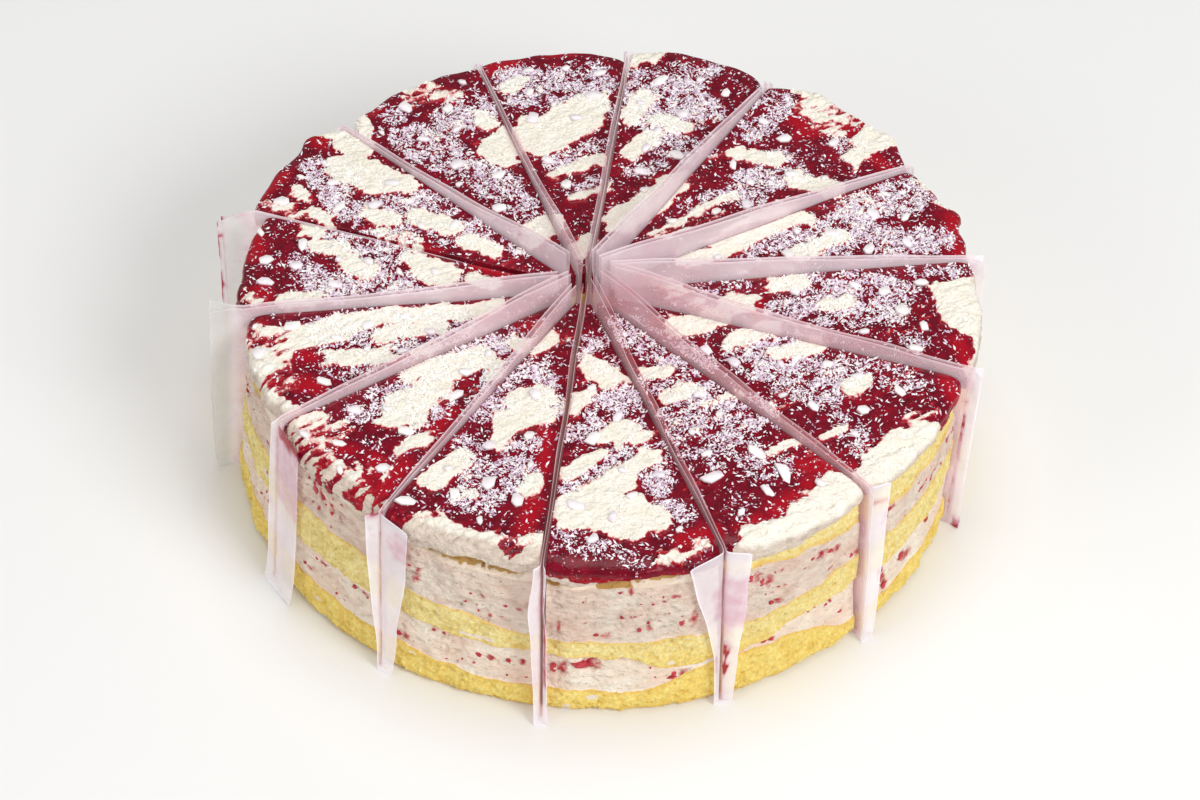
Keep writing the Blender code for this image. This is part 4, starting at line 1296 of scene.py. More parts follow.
def close_top_layer(shell, portion, edges, wall, grids, first_cut, second_cut):
    """The two cut faces with a row of feet under the top's edge, the cap below and the tip."""
    points = np.concatenate(shell.points)
    tip = tip_points(portion, edges[-2].mean())
    feet = []
    for line, end, tip_corner in ((first_cut, wall[0, 0], tip[0]), (second_cut, wall[0, -1], tip[1])):
        along = np.linalg.norm(points[line][:, :2] - points[line[0], :2], axis=1)
        share = along / np.linalg.norm(points[end, :2] - points[line[0], :2])
        feet.append(shell.add(blend(tip_corner, points[end], share[:, None])))
    left, right = feet
    shell.quads(left[:-1], left[1:], first_cut[1:], first_cut[:-1])
    shell.quads(right[1:], right[:-1], second_cut[:-1], second_cut[1:])
    shell.fan(left[-1], (*wall[:, 0], first_cut[-1]))
    shell.fan(right[-1], (second_cut[-1], *wall[::-1, -1]))
    middle = shell.add(cap_middle(portion, edges[-2])[None])[0]
    ring = np.concatenate((left, wall[0], right[::-1], left[:1]))
    shell.fan(middle, ring[::-1])
    shell.fan(left[0], (*grids[0][0], right[0]))


top_grounds = []
for portion in PORTIONS:
    shell, zones = top_layer(portion, EDGES[portion.name])
    name = f"{portion.name}_top_cream"
    add_piece(name, shell.mesh(name), TOP_FINISH, "jam", portion.name)
    top_grounds.append(zones)

# %% [markdown]
# ## The papers
# Each is one strip folded along its foot. It stands in the cut with its two leaves close together, rises a
# little over the cream, and opens where it leaves the rim. Cloth could be dropped into the cuts, but a
# strip with a few sizes of its own follows the real one more closely. The table holds those sizes.

# %% Paper sizes
PAPER_THICKNESS = 0.12 * MM
LEAF_OFFSET = 0.4 * MM
RIM_GAP = 1.2 * MM
# Beyond the rim a leaf first goes straight for this share of its reach, and opens after that
STRAIGHT_SHARE = 0.25
REACH_CURVE = 0.4
# Each paper's sizes in millimetres: its inner end from where the cuts meet, its height above the top at
# the inner end, half way and at the rim, its reach beyond the rim at the top and at the foot, and how much
# lower its top edge ends. Then how far the clockwise and the counter-clockwise leaf open at each of these
# levels.
OPENING_LEVELS = (0.0, 0.35, 0.68, 1.0)
HARDLY = (0.8, 1, 1, 1)
PAPERS = (
    ((7, 9, 3, 0.5, 3, 6.5, 1), (0.9, 1.8, 3.2, 1.8), (1.8, 1.3, 0.7, 0.4)),
    ((6, 11, 5, 1, 2.6, 1.8, 4.5), (1.7, 2.2, 7, 12.5), (3.3, 4.8, 7.3, 8)),
    ((8, 15, 7, 1.5, 3.8, 3, 2), (0.6, 0.6, 0.6, 0.6), (3.2, 4.5, 5.5, 6.5)),
    ((11, 15, 8, 4.5, 3.8, 5.2, 1), HARDLY, (0.8, 1.2, 1.5, 1.5)),
    ((9, 12, 7, 1.5, 5.2, 5.4, 2.5), (1, 1.2, 1.4, 1.5), (1, 1.2, 1.4, 1.5)),
    ((6, 13, 8, 1.5, 0.5, 1.2, 1.5), HARDLY, HARDLY),
    ((6, 14, 9, 2.5, 0.5, 1.2, 1.5), HARDLY, HARDLY),
    ((7, 10, 5, 1, 0.8, 1.5, 2), HARDLY, HARDLY),
    ((6, 11, 4, 0.8, 0.5, 1.5, 1.5), HARDLY, HARDLY),
    ((9, 12, 5, 0.5, 0.5, 1.5, 1.5), HARDLY, HARDLY),
    ((14, -3, -1, 0, 14, 13.5, 9), HARDLY, HARDLY),
    ((10, 9, 6, 4, 11, 6, -3), HARDLY, (0.8, 1.5, 2.3, 3)),
    ((7, 12, 7, 2, 2.2, 4.2, 3), (0.8, 0.8, 1, 1), (15, 17, 17, 16)),
    ((8, 9, 5, 0.5, 2.8, 3, 3), (-1.3, 0.6, 2.7, 4), (5.5, 7.5, 11.2, 11.6)),
)
# Red on a paper: paper, leaf (-1 or 1), lowest and highest height in millimetres, from and to which share
# of its reach beyond the rim, and strength
PAPER_STAINS = (
    (0, 1, 14, 66, 0.35, 0.85, 0.85), (1, 1, 12, 30, 0.25, 0.6, 1), (1, -1, 14, 27, 0.5, 0.9, 0.7),
    (1, -1, 40, 60, 0, 0.7, 0.6), (1, 1, 34, 62, 0, 1.2, 0.62), (2, 1, 65, 71, 0.3, 0.95, 0.8),
    (3, -1, 3, 68, 0, 0.3, 0.85), (3, 1, 3, 68, 0, 0.3, 0.85), (3, 1, -3, 6, 0.4, 1.2, 0.85),
    (3, -1, -3, 6, 0.4, 1.2, 0.85), (10, -1, 0, 90, 0.88, 1.2, 1), (10, 1, 0, 90, 0.88, 1.2, 1),
    (12, 1, 36, 80, 0.1, 1.2, 0.6), (12, 1, 71, 76, 0.2, 1.2, 0.95), (13, -1, 71, 80, 0.2, 1.2, 0.9),
    (13, 1, 71, 80, 0, 0.4, 0.9), (13, 1, 56, 72, 0.4, 1.2, 0.6),
)
# Papers whose part above the top is so thin and wet that the jam behind it shows, and shaded ones, greyed
# outside the cut as painted shade
CLEAR_PAPERS = {0: 1.0, 1: 1.0, 2: 0.8, 3: 0.35, 12: 0.2, 13: 0.3, 8: 0.3, 7: 0.3}
SHADED_PAPERS = {10: 0.7, 11: 1.0}
CLOUDY_IN_CUT, CLOUDY_OUTSIDE = 0.34, 0.46
CLEAR_EFFECT = 0.4
LEAST_WET, MOST_WET = 0.22, 0.9
# How far a leaf wanders in the cut, and outside it
CALM_WAVE, FREE_WAVE = 0.15 * MM, 0.9 * MM
FREE_SPREAD, EDGE_WAVE = 0.5 * MM, 0.5 * MM
STAIN_FADE, STAIN_FADE_ALONG = 3, 0.12
STATIONS_IN_CUT = 56
STATIONS_OUTSIDE = 9
LEAF_LEVELS = 23
# The cut edge of a leaf starts at this share of its height, and is less clear than the rest
EDGE_LEVEL = 0.987
EDGE_CLOUDY = 0.4
print("papers:", len(PAPERS))

# %% Paper finish


def make_paper_finish():
    # Painted light: the paper glows faintly in its own colour, standing in for light shining through it.
    material, tree, inputs, place = new_material(
        "greaseproof", Roughness=0.4, IOR=1.45, Emission_Strength=0.16
    )
    body = mottle(tree, place, 12 * MM, paint(248, 245, 248), paint(238, 231, 238), 0.2)
    # Painted shade: papers that stand in shade are greyed outside the cut.
    body = lay_over(tree, carried(tree, "grey"), 0.8, body, paint(214, 214, 210))
    body = add_mix(tree, carried(tree, "wet"), body, paint(236, 172, 178))
    fine = add_noise(tree, place, 260.0, 4.0)
    stain = add_wobble(tree, carried(tree, "stain"), fine, 0.5)
    tinted = add_mix(tree, add_map(tree, stain, 0.3, 0.8, 0.0, 0.85), body, paint(226, 178, 200))
    colour = add_mix(tree, add_map(tree, stain, 0.68, 0.95), tinted, paint(164, 12, 36))
    link(tree, colour, inputs["Base Color"])
    # Painted light: the glow takes the paper's colour.
    link(tree, colour, inputs["Emission Color"])
    cloudy = add_math(tree, "SUBTRACT", carried(tree, "cloudy"), add_math(tree, "MULTIPLY", fine, 0.06))
    opaque = add_math(tree, "MAXIMUM", cloudy, add_map(tree, stain, 0.6, 0.95, 0.1, 0.75))
    link(tree, opaque, inputs["Alpha"])
    link(tree, add_bump(tree, add_noise(tree, place, 120.0, 2.0), 0.5 * MM, 0.5), inputs["Normal"])
    return material


PAPER_FINISH = make_paper_finish()
print("finish:", PAPER_FINISH.name)

# %% The grid of a strip


def rim_distance(index, height):
    """How far along a cut the outer sides of its two neighbours reach."""
    share = np.clip(height / CAKE_HEIGHT, None, 1.0)
    reaches = []
    for neighbour, corner in ((index - 1, 1), (index, 0)):
        shift = blend(FOOT_SHIFTS[neighbour], TOP_SHIFTS[neighbour], share)
        reaches.append(shift - CORNER_INSETS[neighbour][corner] * share * MM)
    behind = CUTS_MEET @ cut_way(index)
    radius = CAKE_RADIUS + np.maximum(*reaches)
    return -behind + np.sqrt(radius**2 - CUTS_MEET @ CUTS_MEET + behind**2)


def paper_grid():
    """Stations along a strip, with the rim at 1 and the end at 2, by levels down one leaf, up the other."""
    beyond = 1 + np.linspace(0, 1, STATIONS_OUTSIDE + 1)[1:]
    stations = np.concatenate((np.linspace(0, 1, STATIONS_IN_CUT), beyond))
    level = np.append(np.linspace(0, EDGE_LEVEL, LEAF_LEVELS - 1), 1.0)
    station, levels = np.meshgrid(stations, np.concatenate((level[::-1], level)), indexing="ij")
    side = np.broadcast_to(np.repeat((-1.0, 1.0), LEAF_LEVELS), station.shape)
    return station, levels, side


STATION, LEVEL, SIDE = paper_grid()
OUTSIDE = np.clip(STATION - 1, 0, 1)
print("points in a strip:", STATION.size)

# %% Where the points of a strip lie


def paper_places(index):
    """How far out and how high each point is, and how far its leaf is open there."""
    sizes, clockwise, counter = PAPERS[index]
    inner, high, half, low, reach, foot_reach, drop = (size * MM for size in sizes)
    rim = rim_distance(index, np.array(CAKE_HEIGHT))
    inside = np.clip(STATION, 0, 1)
    along_top = blend(inner, rim, inside)
    early = CAKE_HEIGHT + blend(high, half, smooth_step(2 * inside))
    late = CAKE_HEIGHT + blend(half, low, np.clip(2 * inside - 1, 0, 1))
    edge_wave = EDGE_WAVE * bumps(stack(along_top, 0.01 * SIDE, 0.1 * index), 16 * MM, 91)
    top = np.where(inside < 0.5, early, late) - drop * OUTSIDE + edge_wave
    beyond = blend(foot_reach, reach, LEVEL**REACH_CURVE) * OUTSIDE
    gap = RIM_GAP * np.minimum(OUTSIDE / STRAIGHT_SHARE, 1)
    outer = blend(rim_distance(index, np.array(0.0)), rim, LEVEL) + gap + beyond
    opened = smooth_step((OUTSIDE - STRAIGHT_SHARE) / (1 - STRAIGHT_SHARE))
    left, right = (np.interp(LEVEL, OPENING_LEVELS, openings) for openings in (clockwise, counter))
    open_here = np.where(SIDE > 0, right, left) * MM * opened
    return np.where(STATION <= 1, along_top, outer), top * LEVEL, open_here


print("openings at", len(OPENING_LEVELS), "levels")

# %% What the paper's finish follows


def between(value, low, high, ragged, fade):
    """1 between two ragged ends, fading out at both."""
    return smooth_step((value - low + ragged) / fade) * smooth_step((high - value + ragged) / fade)


def paper_stain(index, spots):
    """How red the paper is: a little in the cut, and more where the table says so."""
    height = spots[..., 1]
    soaked = smooth_step((CAKE_HEIGHT + 5 * MM - height) / (8 * MM)) * (1 - 0.6 * smooth_step(OUTSIDE))
    stain = (0.3 + 0.35 * bumps(spots, 9 * MM, 93)) * soaked + 0.08
    ragged, torn = 3.0 * bumps(spots, 5 * MM, 94), 0.15 * bumps(spots, 3 * MM, 95)
    for paper, leaf, lowest, highest, first, last, strength in PAPER_STAINS:
        if paper == index:
            band = between(height / MM, lowest, highest, ragged, STAIN_FADE)
            edge = between(OUTSIDE, first, last, torn, STAIN_FADE_ALONG)
            stain = np.maximum(stain, strength * band * edge * (SIDE == leaf))
    return stain


def paper_values(index, spots):
    """What the finish follows at every point."""
    left_cut = smooth_step(2 * OUTSIDE)
    clear = CLEAR_PAPERS.get(index, 0.0)
    cloudy = blend(CLOUDY_IN_CUT * (1 - clear * CLEAR_EFFECT), CLOUDY_OUTSIDE, left_cut)
    cloudy = cloudy + 0.08 * bumps(spots, 14 * MM, 96)
    at_edge = np.maximum(LEVEL > EDGE_LEVEL, STATION == STATION.max())
    wet = blend(LEAST_WET, MOST_WET, clear) * (1 - left_cut) * (0.8 + 0.4 * bumps(spots, 7 * MM, 97))
    return {
        "stain": paper_stain(index, spots), "cloudy": cloudy + EDGE_CLOUDY * at_edge,
        "grey": SHADED_PAPERS.get(index, 0.0) * left_cut, "wet": wet,
    }


print("stains:", len(PAPER_STAINS))

# %% The papers, one strip for every cut


def paper_shell(index):
    """Both skins of a strip, not joined yet."""
    forward = cut_way(index)
    sideways = np.array((-forward[1], forward[0]))
    distance, height, open_here = paper_places(index)
    spots = stack(distance, height, 0.1 * index + 0.02 * SIDE)
    above = smooth_step((height - CAKE_HEIGHT) / (4 * MM))
    free = np.maximum(above, smooth_step(OUTSIDE))
    wave = bumps(spots, (22 * MM, 14 * MM, 1), 92) * blend(CALM_WAVE, FREE_WAVE, free)
    across = SIDE * (LEAF_OFFSET + open_here + FREE_SPREAD * free) + wave
    values = paper_values(index, spots)
    shell = Shell()
    skins = []
    for skin in (PAPER_THICKNESS / 2, -PAPER_THICKNESS / 2):
        shift = across + SIDE * skin
        lift = np.where((LEVEL == 0) & (skin < 0), PAPER_THICKNESS, 0.0)
        flat = CUTS_MEET + distance[..., None] * forward + shift[..., None] * sideways
        skins.append(shell.add(raised(flat, height + lift), **values))
    return shell, skins


def close_paper(shell, skins):
    """Both skins, split into triangles alike, and the rim that joins them."""
    outer, inner = skins
    shell.quads(outer[:-1, :-1], outer[1:, :-1], outer[1:, 1:], outer[:-1, 1:])
    shell.quads(inner[:-1, :-1], inner[:-1, 1:], inner[1:, 1:], inner[1:, :-1])
    for near, far, line in ((outer, inner, np.s_[:, 0]), (inner, outer, np.s_[:, -1]),
                            (inner, outer, np.s_[0]), (outer, inner, np.s_[-1])):
        shell.quads(near[line][:-1], far[line][:-1], far[line][1:], near[line][1:])


for index in range(len(PAPERS)):
    shell, skins = paper_shell(index)
    close_paper(shell, skins)
    node = f"paper_{index + 1:02d}"
    name = node + "_leaves"
    add_piece(name, shell.mesh(name), PAPER_FINISH, "paper", node)

# %% [markdown]
# ## Scattering with Geometry Nodes
# Flakes, shreds and crumbs repeat thousands of times. One tree places them: points are dealt over a
# surface, more where the mesh carries a higher value, each point takes one shape out of a small set,
# turned and tilted at random, and the result is made real. Python could place each piece too, but far more
# slowly. The surface itself is only a helper.

# %% The scatter tree
# Numbers drawn to pick a shape, and what is added to the seed for sizes and for tones
SHAPE_DRAWS = 1000
SIZE_SEED, TONE_SEED = 7.0, 9.0


def make_scatter_tree():
    tree, given, result = node_group(
        "scatter", "GeometryNodeTree",
        (
            ("Surface", GEOMETRY), ("Shapes", "NodeSocketCollection"), ("Most per area", FLOAT),
            ("Thickness value", "NodeSocketString"), ("Smallest", FLOAT), ("Largest", FLOAT),
            ("Tilt", FLOAT), ("Lift", FLOAT), ("Seed", "NodeSocketInt"), ("Material", "NodeSocketMaterial"),
        ),
        (("Result", GEOMETRY),),
    )
    carried_value = add_node(tree, "GeometryNodeInputNamedAttribute", {"Name": given["Thickness value"]})
    density = add_math(tree, "MULTIPLY", given["Most per area"], carried_value["Attribute"])
    deal = add_node(
        tree, "GeometryNodeDistributePointsOnFaces",
        {"Mesh": given["Surface"], "Density": density, "Seed": given["Seed"]},
    )
    shapes = add_node(
        tree, "GeometryNodeCollectionInfo",
        {"Collection": given["Shapes"], "Separate Children": True, "Reset Children": True},
    )
    pick = add_node(
        tree, "FunctionNodeRandomValue", {4: 0, 5: SHAPE_DRAWS, "Seed": given["Seed"]}, data_type="INT"
    )
    tilt_low = add_math(tree, "MULTIPLY", given["Tilt"], -1.0)
    low = add_node(tree, "ShaderNodeCombineXYZ", {"X": tilt_low, "Y": tilt_low, "Z": 0.0})
    high = add_node(tree, "ShaderNodeCombineXYZ", {"X": given["Tilt"], "Y": given["Tilt"], "Z": math.tau})
    turn = add_node(
        tree, "FunctionNodeRandomValue", {0: low[0], 1: high[0], "Seed": given["Seed"]},
        data_type="FLOAT_VECTOR",
    )
    lie = add_node(
        tree, "FunctionNodeRotateRotation",
        {"Rotation": deal["Rotation"], "Rotate By": turn["Value"]}, rotation_space="LOCAL",
    )
    size_seed = add_math(tree, "ADD", given["Seed"], SIZE_SEED)
    sizes = {2: given["Smallest"], 3: given["Largest"], "Seed": size_seed}
    size = add_node(tree, "FunctionNodeRandomValue", sizes)
    tone_seed = add_math(tree, "ADD", given["Seed"], TONE_SEED)
    tone = add_node(tree, "FunctionNodeRandomValue", {"Seed": tone_seed})
    toned = add_node(
        tree, "GeometryNodeStoreNamedAttribute",
        {"Geometry": deal["Points"], "Name": "tone", "Value": tone[1]}, data_type="FLOAT",
    )
    rise = add_node(
        tree, "ShaderNodeVectorMath", {0: deal["Normal"], "Scale": given["Lift"]}, operation="SCALE"
    )
    lifted = add_node(
        tree, "GeometryNodeSetPosition",
        {"Geometry": toned["Geometry"], "Offset": rise["Vector"]},
    )
    placed = add_node(
        tree, "GeometryNodeInstanceOnPoints",
        {
            "Points": lifted["Geometry"], "Instance": shapes[0],
            "Pick Instance": True, "Instance Index": pick[2],
            "Rotation": lie["Rotation"], "Scale": size[1],
        },
    )
    real = add_node(tree, "GeometryNodeRealizeInstances", {"Geometry": placed["Instances"]})
    finish = add_node(
        tree, "GeometryNodeSetMaterial",
        {"Geometry": real["Geometry"], "Material": given["Material"]},
    )
    link(tree, finish["Geometry"], result["Result"])
    return tree


SCATTER = make_scatter_tree()
print("tree:", SCATTER.name, "with", len(SCATTER.nodes), "nodes")

# %% Shapes to scatter


def lozenge(name, width, thickness, dice):
    """A flat sliver one unit long: eight faces, pointed and uneven."""
    corners = [(0.5, 0, 0), (0, 0.5 * width, 0), (-0.5, 0, 0), (0, -0.5 * width, 0)]
    corners += [(0, 0, 0.5 * thickness), (0, 0, -0.5 * thickness)]
    points = np.array(corners) * [[dice.uniform(0.7, 1.0)] * 3 for _ in corners]
    points[:4, :2] += [[dice.uniform(-0.12, 0.12), dice.uniform(-0.12, 0.12) * width] for _ in range(4)]
    mesh = bpy.data.meshes.new(name)
    faces = [(n, (n + 1) % 4, 4) for n in range(4)] + [((n + 1) % 4, n, 5) for n in range(4)]
    mesh.from_pydata(points.tolist(), [], faces)
    return mesh


def shard(name, dice):
    """A tiny broken grain one unit long: four faces."""
    corners = ((0.5, 0.0, 0.0), (-0.3, 0.4, 0.0), (-0.3, -0.4, 0.0), (0.0, 0.0, 0.35))
    points = [[part * dice.uniform(0.7, 1.0) for part in corner] for corner in corners]
    mesh = bpy.data.meshes.new(name)
    mesh.from_pydata(points, [], [(0, 1, 3), (1, 2, 3), (2, 0, 3), (2, 1, 0)])
    return mesh


def lump(name, dice, spread, subdivisions=1):
    """A rough lump one unit across, made from a small ball."""
    mesh = bpy.data.meshes.new(name)
    shape = bmesh.new()
    bmesh.ops.create_icosphere(shape, subdivisions=subdivisions, radius=0.5)
    for corner in shape.verts:
        corner.co *= dice.uniform(1 - spread, 1 + spread)
    shape.to_mesh(mesh)
    shape.free()
    return mesh


def shape_set(name, meshes):
    """A collection of helper objects for the scatter tree to pick from."""
    collection = bpy.data.collections.new(name)
    for mesh in meshes:
        collection.objects.link(bpy.data.objects.new(mesh.name, mesh))
    return collection


SHAPE_DICE = random.Random(3)
FINE_FLAKES = shape_set(
    "fine flakes", [lozenge(f"flake {n}", 0.35 + 0.09 * n, 0.22, SHAPE_DICE) for n in range(6)]
)
SLIVERS = shape_set(
    "slivers", [lozenge(f"sliver {n}", 0.26 + 0.07 * n, 0.12, SHAPE_DICE) for n in range(4)]
)
GRAINS = shape_set("grains", [shard(f"grain {n}", SHAPE_DICE) for n in range(5)])
CRUMBS = shape_set("crumbs", [lump(f"crumb {n}", SHAPE_DICE, 0.3) for n in range(4)])

# %% [markdown]
# White chocolate flakes are ivory on cream and look lilac on jam, because the red shines through thin
# ones. The value that says what lies below comes along from the surface, so the finish can follow it.

# %% Flake finish


def make_flake_finish():
    material, tree, inputs, place = new_material("white flakes", Roughness=0.5, IOR=1.45)
    below = add_map(tree, carried(tree, "cover"), -0.4, 0.2)
    tone = add_map(tree, carried(tree, "tone"), 0.1, 0.55)
    lilac = add_mix(tree, tone, paint(216, 184, 212), paint(255, 251, 253))
    clouds = add_map(tree, add_noise(tree, place, 800.0, 1.0), 0.45, 0.8, 0.0, 0.5)
    lilac = add_mix(tree, clouds, lilac, paint(206, 172, 206))
    link(tree, add_mix(tree, below, lilac, paint(255, 253, 246)), inputs["Base Color"])
    return material


FLAKE_FINISH = make_flake_finish()
print("finish:", FLAKE_FINISH.name)

# %% Run the tree on a surface


def helper_surface(name, grids):
    """One mesh from grids of points, each with its values."""
    shell = Shell()
    for points, values in grids:
        grid = shell.add(points, **values)
        shell.quads(grid[:-1, :-1], grid[1:, :-1], grid[1:, 1:], grid[:-1, 1:])
    surface = bpy.data.objects.new(name, shell.mesh(name))
    bpy.context.scene.collection.objects.link(surface)
    return surface


def run_tree(surface, tree, name, given):
    """Evaluates the tree on the surface and keeps the result as a plain mesh."""
    modifier = surface.modifiers.new(tree.name, "NODES")
    modifier.node_group = tree
    for socket in tree.interface.items_tree:
        if socket.in_out == "INPUT" and socket.name in given:
            modifier[socket.identifier] = given[socket.name]
    bpy.context.view_layer.update()
    evaluated = surface.evaluated_get(bpy.context.evaluated_depsgraph_get())
    mesh = bpy.data.meshes.new_from_object(evaluated)
    mesh.name = name
    surface.modifiers.remove(modifier)
    return mesh


top_surface = helper_surface("top surface", [zone for zones in top_grounds for zone in zones])
print("surface triangles:", len(top_surface.data.polygons))

# %% Flakes on the top
# Kind: shapes, most per square millimetre, smallest and largest in millimetres, tilt, lift in millimetres
FLAKE_KINDS = {
    "fine_grains": (GRAINS, 1.5, 0.5, 1.1, 0.7, 0.08),
    "fine_flakes": (FINE_FLAKES, 1.3, 0.9, 1.9, 0.5, 0.15),
    "slivers": (SLIVERS, 1.0, 1.4, 3.0, 0.4, 0.22),
}
FLAKES_SEED = 11
for number, (name, (shapes, density, smallest, largest, tilt, lift)) in enumerate(FLAKE_KINDS.items()):
    given = {
        "Shapes": shapes, "Most per area": density / MM**2, "Thickness value": "flaky",
        "Smallest": smallest * MM, "Largest": largest * MM, "Tilt": tilt, "Lift": lift * MM,
        "Seed": FLAKES_SEED + number, "Material": FLAKE_FINISH,
    }
    mesh = run_tree(top_surface, SCATTER, name, given)
    add_piece(name, mesh, FLAKE_FINISH, "flakes", smooth=False)
    print(name, "triangles:", len(mesh.polygons))
bpy.data.objects.remove(top_surface)

# %% [markdown]
# ## The large chips
# Ten chips on each portion are large enough to be part of the solid. They are dealt again here by the same
# rule and the same seeds, and each one is laid on the finished cream as a six-sided chip, thinner at its
# edge. The scatter tree would not lay them where the solids have them.

# %% Where the chips lie
CHIPS_PER_PORTION = 10
CHIP_LENGTHS = (7.5, 3.2)
CHIP_THICKNESS = 1.1
CHIP_SIDES = 6
CHIP_TILTS = (3.0, 14.0)
CHIP_CLEARANCE, CHIPS_APART = 2.5, 11.0
CHIP_TRIES = 2000
CHIP_REACH, CHIP_WANDER, CHIP_SLIMNESS = (0.75, 1.0), 0.25, (0.45, 0.7)
CHIP_ACROSS, CHIP_AREA = (0.06, 0.94), (0.1, 0.8)
CHIP_SEED = 14
CHIP_RAISED = 0.3 * MM
CHIP_COVER, CHIP_FOOT_COVER, CHIP_TONE = (-0.3, 0.05), -0.1, 0.4
# Share of the outline and level, in half thicknesses, of a chip's three rings
CHIP_RINGS = ((1.0, -1.0), (1.0, 0.6), (0.93, 1.0))
# The largest ones: portion, x, y, length and width in millimetres, and the turn in degrees
LARGE_CHIPS = (
    (1, 0, -120, 6, 3.4, 60), (2, 40.5, -91, 10.5, 4.6, 45), (2, 65.2, -88.6, 10.5, 4, -67),
    (2, 56, -79, 10, 4, -38), (2, 59, -97, 6.5, 2.8, -59), (3, 76, -57, 6.5, 3.2, -50),
    (3, 93.5, -58, 5.5, 4.2, 20), (14, -36, -95, 8, 5, 88), (14, -26, -103, 7, 4.4, 80),
    (14, -64, -104, 8.6, 4.4, 5),
)


def portion_chips(portion, dice):
    """(place, length, width, turn) of each chip: the large ones, then more away from the edges."""
    chips = []
    for number, x, y, length, width, turn in LARGE_CHIPS:
        if number == portion.index + 1:
            chips.append((np.array((x, y)) * MM, length, width, math.radians(turn)))
    for _ in range(CHIP_TRIES):
        if len(chips) == CHIPS_PER_PORTION:
            break
        across = dice.uniform(*CHIP_ACROSS)
        distance = math.sqrt(dice.uniform(*CHIP_AREA)) * CAKE_RADIUS
        place = portion.place(np.array(across), np.array(distance))
        from_cut = portion.from_cuts(across, distance) / MM
        distances = (np.linalg.norm(place - other[0]) / MM for other in chips)
        apart = min(distances, default=CAKE_RADIUS / MM)
        if from_cut > CHIP_CLEARANCE + CHIP_LENGTHS[0] / 2 and apart > CHIPS_APART:
            length = blend(*CHIP_LENGTHS, len(chips) / CHIPS_PER_PORTION)
            width = length * dice.uniform(*CHIP_SLIMNESS)
            chips.append((place, length, width, dice.uniform(0.0, math.tau)))
    return chips


print("chips:", CHIPS_PER_PORTION * len(PORTIONS))

# %% Lay the chips


def ground_height(place):
    """The height of the finished cream under a place."""
    x, y = (part[None] for part in place)
    from_rim = CAKE_RADIUS - np.hypot(x, y)
    return float(top_height(x, y, from_rim, from_rim, cover(x, y, from_rim))[0])


def lay_chip(shell, chip, dice):
    """Two uneven rings and a middle point on each: a flat chip, closed all round."""
    place, length, width, turn = chip
    sides = []
    for side in range(CHIP_SIDES):
        angle = math.tau * (side + dice.uniform(-CHIP_WANDER, CHIP_WANDER)) / CHIP_SIDES
        reach = dice.uniform(*CHIP_REACH) / 2 / max(abs(math.cos(angle)), abs(math.sin(angle)))
        sides.append((length * reach * math.cos(angle), width * reach * math.sin(angle)))
    tilt = math.radians(dice.uniform(*CHIP_TILTS))
    flat = np.array(sides)
    half = CHIP_THICKNESS / 2
    points = [stack(flat[:, 0] * share, flat[:, 1] * share, level * half) for share, level in CHIP_RINGS]
    points = np.vstack((*points, (0, 0, -half), (0, 0, half))) * MM
    matrix = np.array(Matrix.Rotation(turn, 3, "Z") @ Matrix.Rotation(tilt, 3, "Y"))
    points = points @ matrix.T + (*place, ground_height(place) + CHIP_RAISED)
    rings = points[:-2].reshape(len(CHIP_RINGS), CHIP_SIDES, 3)
    numbers = shell.add(rings, cover=dice.uniform(*CHIP_COVER), tone=CHIP_TONE)
    low, high = shell.add(points[-2:], cover=CHIP_FOOT_COVER, tone=CHIP_TONE)
    loop = np.concatenate((numbers, numbers[:, :1]), axis=1)
    shell.patch(loop)
    shell.fan(low, loop[0][::-1])
    shell.fan(high, loop[-1])


chip_shell = Shell()
for portion in PORTIONS:
    dice = random.Random(CHIP_SEED + portion.index)
    for chip in portion_chips(portion, dice):
        lay_chip(chip_shell, chip, dice)
add_piece("chips", chip_shell.mesh("chips"), FLAKE_FINISH, "flakes", smooth=False)
print("chip triangles:", sum(len(faces) for faces in chip_shell.faces))

# %% [markdown]
# ## Crumbs and berry bits on the wall
# The knife pulled crumbs out of the sponge, most of them at the foot. The same tree deals them over the
# sponge walls, and they keep the sponge's finish. The berry bits are glossy lumps, half sunk in the cream,
# and each has a place that was listed or drawn above, so a plain loop sets them.

# %% Crumbs
# Crumbs on a square metre, how high the thicker band at the foot is, and how many more lie there
CRUMBS_PER_AREA = 0.16 / MM**2
FOOT_CRUMBS = 5 * MM
WALL_SHARE, FOOT_SHARE, TAN_SHARE = 0.7, 1.6, 0.8
CRUMB_FACES = 20
crumb_grids = []
for rows, values in sponge_walls:
    foot = 1.0 - smooth_step(rows[..., 2] / FOOT_CRUMBS)
    share = (1.0 - values["smear"]) * (WALL_SHARE + FOOT_SHARE * foot) * (1.0 - TAN_SHARE * values["tan"])
    turned_round = {name: value[::-1] for name, value in {**values, "crumb": share}.items()}
    crumb_grids.append((rows[::-1], turned_round))
crumb_surface = helper_surface("sponge walls", crumb_grids)
given = {
    "Shapes": CRUMBS, "Most per area": CRUMBS_PER_AREA, "Thickness value": "crumb", "Smallest": 0.5 * MM,
    "Largest": 1.3 * MM, "Tilt": 3.0, "Lift": -0.1 * MM, "Seed": 21, "Material": SPONGE,
}
crumb_mesh = run_tree(crumb_surface, SCATTER, "crumbs", given)
add_piece("crumbs", crumb_mesh, SPONGE, "sponge")
bpy.data.objects.remove(crumb_surface)
print("crumbs:", len(crumb_mesh.polygons) // CRUMB_FACES)

# %% Berry bits


def make_berry_finish():
    material, tree, inputs, place = new_material("berry bits", Roughness=0.3, IOR=1.4)
    body = mottle(tree, place, 1.6 * MM, paint(168, 22, 40), paint(206, 62, 74), 0.18)
    link(tree, body, inputs["Base Color"])
    grain = add_noise(tree, place, 900.0, 2.0)
    link(tree, add_bump(tree, grain, 0.4 * MM, 0.7), inputs["Normal"])
    return material


